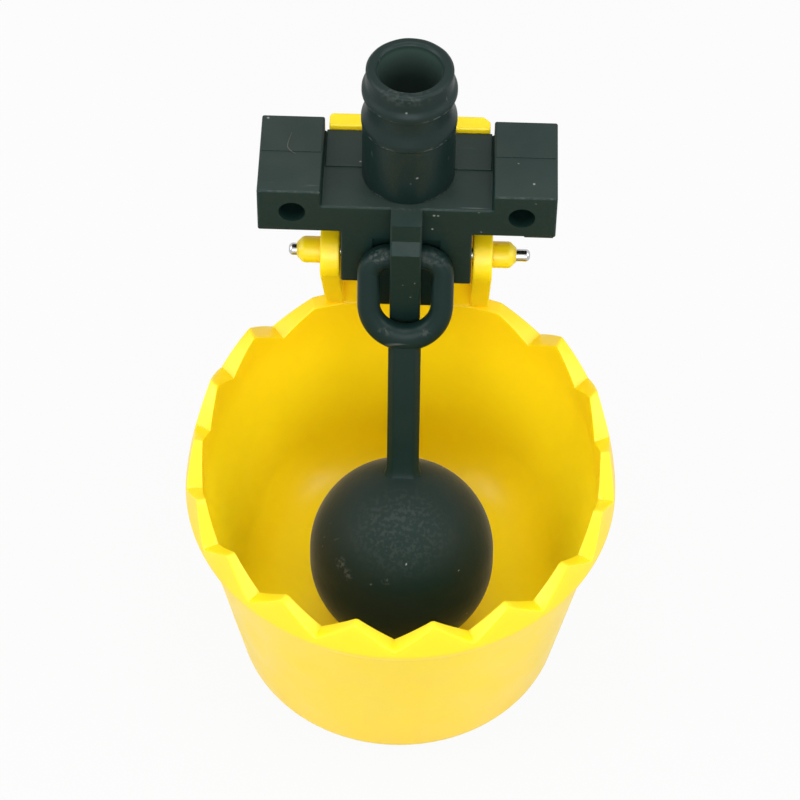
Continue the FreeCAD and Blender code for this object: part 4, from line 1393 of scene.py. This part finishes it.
@dataclass
class HoseTail:
    """The black hose tail with its two barbs, turned about the inlet's axis."""

    centre: Pair = (0.0, 25.225)
    foot: float = 82.6
    seat: float = 86.6
    top: float = 109.4
    bore: float = 5.05
    spigot: float = 6.2
    shank: float = 7.34
    neck: float = 6.8
    tip: float = 6.8
    mouth: float = 0.45
    second_barb: Pair = (98.0, 7.5)
    first_barb: Pair = (104.2, 7.42)
    barb_rise: float = 0.28
    barb_land: float = 0.9
    neck_foot: float = 101.2
    first_barb_top: float = 106.3
    steps: int = 160
    lip_wave: float = 0.035
    lip_reach: float = 1.5
    sharp_angle: float = 40.0

    def profile(self) -> np.ndarray:
        """Give the section as a closed outline of radius and height, its corners eased.

        Returns:
            The outline's points.
        """
        low, high = self.second_barb, self.first_barb
        corners = np.array([
            (self.bore, self.foot, 0.1), (self.spigot, self.foot, 0.1),
            (self.spigot, self.seat, 0.02), (self.shank, self.seat, 0.15),
            (self.shank, low[0], 0.12), (low[1], low[0] + self.barb_rise, 0.12),
            (low[1], low[0] + self.barb_rise + self.barb_land, 0.3),
            (self.neck, self.neck_foot, 0.8),
            (self.neck, high[0], 0.12), (high[1], high[0] + self.barb_rise, 0.12),
            (high[1], high[0] + self.barb_rise + self.barb_land, 0.3),
            (self.tip, self.first_barb_top, 0.4), (self.tip, self.top - self.mouth, 0.2),
            (self.tip - self.mouth, self.top, 0.15), (self.bore + self.mouth, self.top, 0.15),
            (self.bore, self.top - self.mouth, 0.2)])
        return eased(corners[:, :2], corners[:, 2])

    def build(self, finishes: Finishes) -> None:
        """Turn the profile, with a slightly uneven lip as on a trimmed sprue.

        Near the top, z gains w (sin 5a + sin(11a + 1) - 2) / 2 at the angle a, where w is the
        lip's wave.

        Args:
            finishes: the materials.
        """
        profile, angle = self.profile(), circle(self.steps)
        rings = turned(profile[:, 1], profile[:, 0], self.steps, Axis.Z) + (*self.centre, 0)
        share = np.clip((profile[:, 1, None] - self.top + self.lip_reach) / self.lip_reach, 0, 1)
        rings[..., 2] += self.lip_wave * share * (np.sin(5 * angle) + np.sin(11 * angle + 1) - 2) / 2
        piece = shade(looped_surface("black_hose_tail", rings), self.sharp_angle)
        hand_over(piece, finishes.tail, Body.VALVE, "hose_tail")


# The float lever and its ball


@dataclass
class FloatLever:
    """The black oblong ring, stem and heel in one moulding, and the hollow ball at its foot."""

    hinge: Pair = (15.45, 77.2)
    lean: float = 18.1
    sway: float = 0.38
    tube: float = 1.82
    half_width: float = 5.86
    journal: float = 2.6
    length: float = 14.45
    foot_swell: float = 0.4
    squareness: float = 2.35
    journal_steps: int = 6
    bend_steps: int = 16
    side_steps: int = 8
    foot_steps: int = 48
    section_steps: int = 40
    stem_half: float = 2.63
    stem_deep: float = 1.6
    stem_chamfer: float = 0.95
    stem_ease: float = 0.28
    stem_rows: int = 30
    end_shares: Triple = (0.75, 0.5, 0.25)
    flare: float = 0.16
    flare_reach: float = 0.9
    ball_distance: float = 56.1
    ball_radius: float = 15.3
    ball_band: float = 1.6
    ball_wall: float = 1.6
    ball_gap: float = 0.02
    ball_rows: int = 40
    ball_inner_rows: int = 20
    ball_steps: int = 144
    ball_pole: float = 0.02
    plug_radius: float = 1.4
    plug_length: float = 2.4
    plug_sunk: float = 1.0
    plug_steps: int = 32
    heel_half: Pair = (1.5, 1.2)
    heel_reach: float = 10.9
    heel_round: float = 0.35
    sharp_angle: float = 40.0

    def placed(self, points: np.ndarray) -> np.ndarray:
        """Lean points of the upright lever forward about the hinge and move them to its place.

        Y becomes y cos a + z sin a and Z becomes z cos a - y sin a, from the hinge. The sway
        carries X by -z tan s, the lever's slight play to the right.

        Args:
            points: points with the hinge at their origin, the last axis X, Y and Z.

        Returns:
            The placed points.
        """
        turn = math.radians(self.lean)
        x, y, z = points[..., 0], points[..., 1], points[..., 2]
        return np.stack([x - z * math.tan(math.radians(self.sway)),
                         self.hinge[0] + y * math.cos(turn) + z * math.sin(turn),
                         self.hinge[1] + z * math.cos(turn) - y * math.sin(turn)], axis=-1)

    def ring(self) -> Piece:
        """Carry a squarish round along the ring's line, thicker on the outside of its foot.

        The line is the journal, two quarter bends, two sides and a half bend. The section is
        (cos, sin) of an angle, each raised to 2 / n with its sign kept. At the foot both the
        line and the section's radius grow by the swell times (sin of the bend's angle)^2, so
        the window keeps its shape.

        Returns:
            The ring.
        """
        journal, half = self.journal, self.half_width
        bend, low = half - journal, self.length - half
        stretches = [straight((-journal, 0), (journal, 0), (0, 1), self.journal_steps),
                     bent((journal, -bend), bend, 90, 0, self.bend_steps),
                     straight((half, -bend), (half, -low), (1, 0), self.side_steps),
                     bent((0, -low), half, 0, -180, self.foot_steps),
                     straight((-half, -low), (-half, -bend), (-1, 0), self.side_steps),
                     bent((-journal, -bend), bend, 180, 90, self.bend_steps)]
        line, way = (np.concatenate(parts) for parts in zip(*stretches))
        swell = self.foot_swell * np.where(line[:, 1] < -low, np.maximum(-way[:, 1], 0) ** 2, 0)
        centre = line + way * swell[:, None]
        angle, power = circle(self.section_steps), 2 / self.squareness
        out, deep = (np.sign(wave) * np.abs(wave) ** power for wave in (np.cos(angle), np.sin(angle)))
        radius = (self.tube + swell)[:, None]
        rings = np.stack([centre[:, 0, None] + way[:, 0, None] * radius * out,
                          np.broadcast_to(self.tube * deep, (len(line), self.section_steps)),
                          centre[:, 1, None] + way[:, 1, None] * radius * out], axis=-1)
        return looped_surface("black_float_lever", self.placed(rings))

    def on_ball(self, points: np.ndarray) -> np.ndarray:
        """Give the height on the ball's sphere, sqrt(R^2 - x^2 - y^2) from its centre, at points."""
        seat = self.ball_radius + self.ball_gap
        return np.sqrt(seat ** 2 - (points ** 2).sum(axis=1)) - self.ball_distance

    def stem(self) -> Piece:
        """Carry a chamfered bar's section down to the ball, whose round its end follows.

        The section widens by 1 + f exp(-d / reach) at a distance d from the ball. The rows come
        closer together towards the ball, at 1 - (1 - s)^2 of the way.

        Returns:
            The stem.
        """
        half, deep, cut = self.stem_half, self.stem_deep, self.stem_chamfer
        corners = np.array([(half - cut, -deep), (half, cut - deep),
                            (half, deep - cut), (half - cut, deep),
                            (cut - half, deep), (-half, deep - cut),
                            (-half, cut - deep), (cut - half, -deep)])
        plan = eased(corners, self.stem_ease)
        reach = self.ball_distance - (self.ball_radius + self.ball_gap) - self.length
        rows = []
        for share in 1 - (1 - np.linspace(0, 1, self.stem_rows)) ** 2:
            wide = plan * (1 + self.flare * math.exp((share - 1) * reach / self.flare_reach))
            height = -self.length + share * (self.on_ball(wide) + self.length)
            rows.append(np.column_stack([wide, height]))
        for inner in [rows[-1][:, :2] * share for share in self.end_shares]:
            rows.append(np.column_stack([inner, self.on_ball(inner)]))
        return closed_surface("stem", self.placed(np.stack(rows)), poles=True)

    def heel(self) -> Piece:
        """Carry a level finger's section back from the journal into the block.

        Returns:
            The heel.
        """
        (wide, tall), (y, z) = self.heel_half, self.hinge
        section = np.array([(-wide, y, z - tall), (wide, y, z - tall),
                            (wide, y, z + tall), (-wide, y, z + tall)])
        piece = prism("heel", section, (0, self.heel_reach, 0))
        return settle(soften(piece, self.heel_round, segments=2))

    def plug(self) -> Piece:
        """Turn the round foot that plugs the ball's hole.

        Returns:
            The plug.
        """
        top = self.ball_radius - self.ball_distance
        levels = [top - self.plug_length, top + self.plug_sunk]
        rings = turned(levels, [self.plug_radius] * 2, self.plug_steps, Axis.Z)
        return closed_surface("plug", self.placed(rings))

    def ball(self) -> Piece:
        """Turn the ball's wall: up the outside, in at the plugged hole and down the inside.

        The ball is two half spheres with a short band between them, so the points below the
        middle lie lower by the band's height.

        Returns:
            The ball.
        """
        hole = self.plug_radius + self.ball_gap
        inner = self.ball_radius - self.ball_wall
        parts = []
        for radius, rows, order in ((self.ball_radius, self.ball_rows, 1),
                                    (inner, self.ball_inner_rows, -1)):
            low = np.linspace(self.ball_pole - math.pi / 2, 0, rows)
            tilt = np.concatenate([low, np.linspace(0, math.acos(hole / radius), rows)])
            drop = np.repeat([self.ball_band, 0.0], rows)
            half = np.column_stack([radius * np.cos(tilt), radius * np.sin(tilt) - drop])
            parts.append(half[::order])
        profile = np.concatenate(parts)
        rings = turned(profile[:, 1] - self.ball_distance, profile[:, 0], self.ball_steps, Axis.Z)
        return closed_surface("black_float_ball", self.placed(rings), poles=True)

    def build(self, finishes: Finishes) -> None:
        """Make the lever and its ball.

        Args:
            finishes: the materials.
        """
        lever = self.ring()
        melt(lever, [self.stem(), self.heel(), self.plug()], Melt.JOIN)
        shade(lever, self.sharp_angle)
        hand_over(lever, finishes.lever, Body.FLOAT, "float_arm")
        ball = shade(self.ball(), self.sharp_angle)
        hand_over(ball, finishes.ball, Body.FLOAT, "float_ball")


# The studio


@dataclass(frozen=True)
class SoftBox:
    """A soft lamp: where it hangs, the point it faces, its width and height, and its watts."""

    name: str
    place: Triple
    aim: Triple
    size: Pair
    power: float

    def hang(self) -> None:
        """Add the lamp to the scene."""
        data = bpy.data.lights.new(self.name, "AREA")
        data.shape = "RECTANGLE"
        data.size, data.size_y = (side * MM for side in self.size)
        data.energy = self.power
        lamp = bpy.data.objects.new(self.name, data)
        bpy.context.scene.collection.objects.link(lamp)
        lamp.location = Vector(self.place) * MM
        way = (Vector(self.aim) - Vector(self.place)).normalized()
        lamp.rotation_mode = "QUATERNION"
        lamp.rotation_quaternion = way.to_track_quat("-Z", "Y")


@dataclass
class Studio:
    """The camera at the photograph's viewing angle, the soft lamps and the pale floor."""

    target: Triple = (-0.26, -2.5, 63.3)
    azimuth: float = -1.05
    elevation: float = 50.45
    roll: float = 0.87
    distance: float = 520.0
    lens: float = 148.32
    sensor: float = 36.0
    clip: Pair = (0.01, 20.0)
    floor_half: float = 4000.0
    floor_grey: float = 0.4
    floor_roughness: float = 0.9
    floor_white: float = 0.94
    air_strength: float = 0.37
    boxes: tuple[SoftBox, ...] = (
        SoftBox("front_box", (0, -850, 430), (0, 0, 40), (800, 500), 5.8),
        SoftBox("top_box", (0, -80, 1000), (0, 0, 40), (700, 600), 5.4),
        SoftBox("left_box", (-760, -140, 500), (0, 0, 50), (500, 700), 3.8),
        SoftBox("right_box", (760, -140, 500), (0, 0, 50), (500, 700), 3.8))

    def camera(self) -> None:
        """Stand the camera on its line of sight to the target, rolled a little clockwise."""
        a, e, r = (math.radians(x) for x in (self.azimuth, self.elevation, self.roll))
        sight = Vector((math.sin(a) * math.cos(e), math.cos(a) * math.cos(e), -math.sin(e)))
        right = Vector((math.cos(a), -math.sin(a), 0))
        above = right.cross(sight)
        across = math.cos(r) * right + math.sin(r) * above
        upward = -math.sin(r) * right + math.cos(r) * above
        data = bpy.data.cameras.new("camera")
        data.lens = self.lens
        data.sensor_width = self.sensor
        data.clip_start, data.clip_end = self.clip
        camera = bpy.data.objects.new("camera", data)
        bpy.context.scene.collection.objects.link(camera)
        eye = (Vector(self.target) - sight * self.distance) * MM
        turn = Matrix((across, upward, -sight)).transposed().to_4x4()
        camera.matrix_world = Matrix.Translation(eye) @ turn
        bpy.context.scene.camera = camera

    def floor(self) -> None:
        """Lay the pale floor, nearly white to the camera, that keeps the soft shadow."""
        half = self.floor_half
        corners = np.array([(-half, -half, 0), (half, -half, 0), (half, half, 0), (-half, half, 0)])
        sheet = add_object("floor", corners, [(0, 1, 2, 3)])
        net = SurfaceNet("pale_floor")
        net.set(base_color=(*[self.floor_grey] * 3, 1.0), roughness=self.floor_roughness,
                specular_ior_level=0.0)
        glow = net.add("ShaderNodeEmission")
        net.feed(glow.inputs["Color"], (1.0, 1.0, 1.0, 1.0))
        blend = net.add("ShaderNodeMixShader")
        net.feed(blend.inputs["Fac"], net.product(net.seen_share(), self.floor_white))
        net.feed(blend.inputs[1], net.shader.outputs["BSDF"])
        net.feed(blend.inputs[2], glow.outputs["Emission"])
        net.feed(net.tree.nodes["Material Output"].inputs["Surface"], blend.outputs["Shader"])
        sheet.data.materials.append(net.material)

    def world(self) -> None:
        """Surround the scene with soft white air that the camera and mirrors see as pure white."""
        world = bpy.data.worlds.new("air")
        bpy.context.scene.world = world
        net = NodeNet(world)
        air = net.tree.nodes["Background"]
        net.feed(air.inputs["Color"], (1.0, 1.0, 1.0, 1.0))
        strength = net.spread(net.seen_share(), self.air_strength, 1.0, (0.0, 1.0))
        net.feed(air.inputs["Strength"], strength)

    def build(self) -> None:
        """Set up camera, air, lamps and floor."""
        bpy.context.scene.view_settings.view_transform = "Standard"
        self.camera()
        self.world()
        for box in self.boxes:
            box.hang()
        self.floor()


def main() -> None:
    """Load the frame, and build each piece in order."""
    logging.basicConfig(level=logging.INFO, format="%(name)s %(message)s")
    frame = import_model()
    finishes = Finishes()
    Studio().build()
    for node in ("hinge_pin", "valve_pin"):
        dress(frame["nodes"][node], finishes.steel)
        shade(frame["nodes"][node])
    dress(frame["nodes"]["seat_washer"], finishes.rubber)
    BlockMoulding().build(frame["nodes"]["valve_body"], finishes)
    HoseTail().build(finishes)
    FloatLever().build(finishes)
    CupMoulding().build(finishes)


if __name__ == "__main__":
    main()
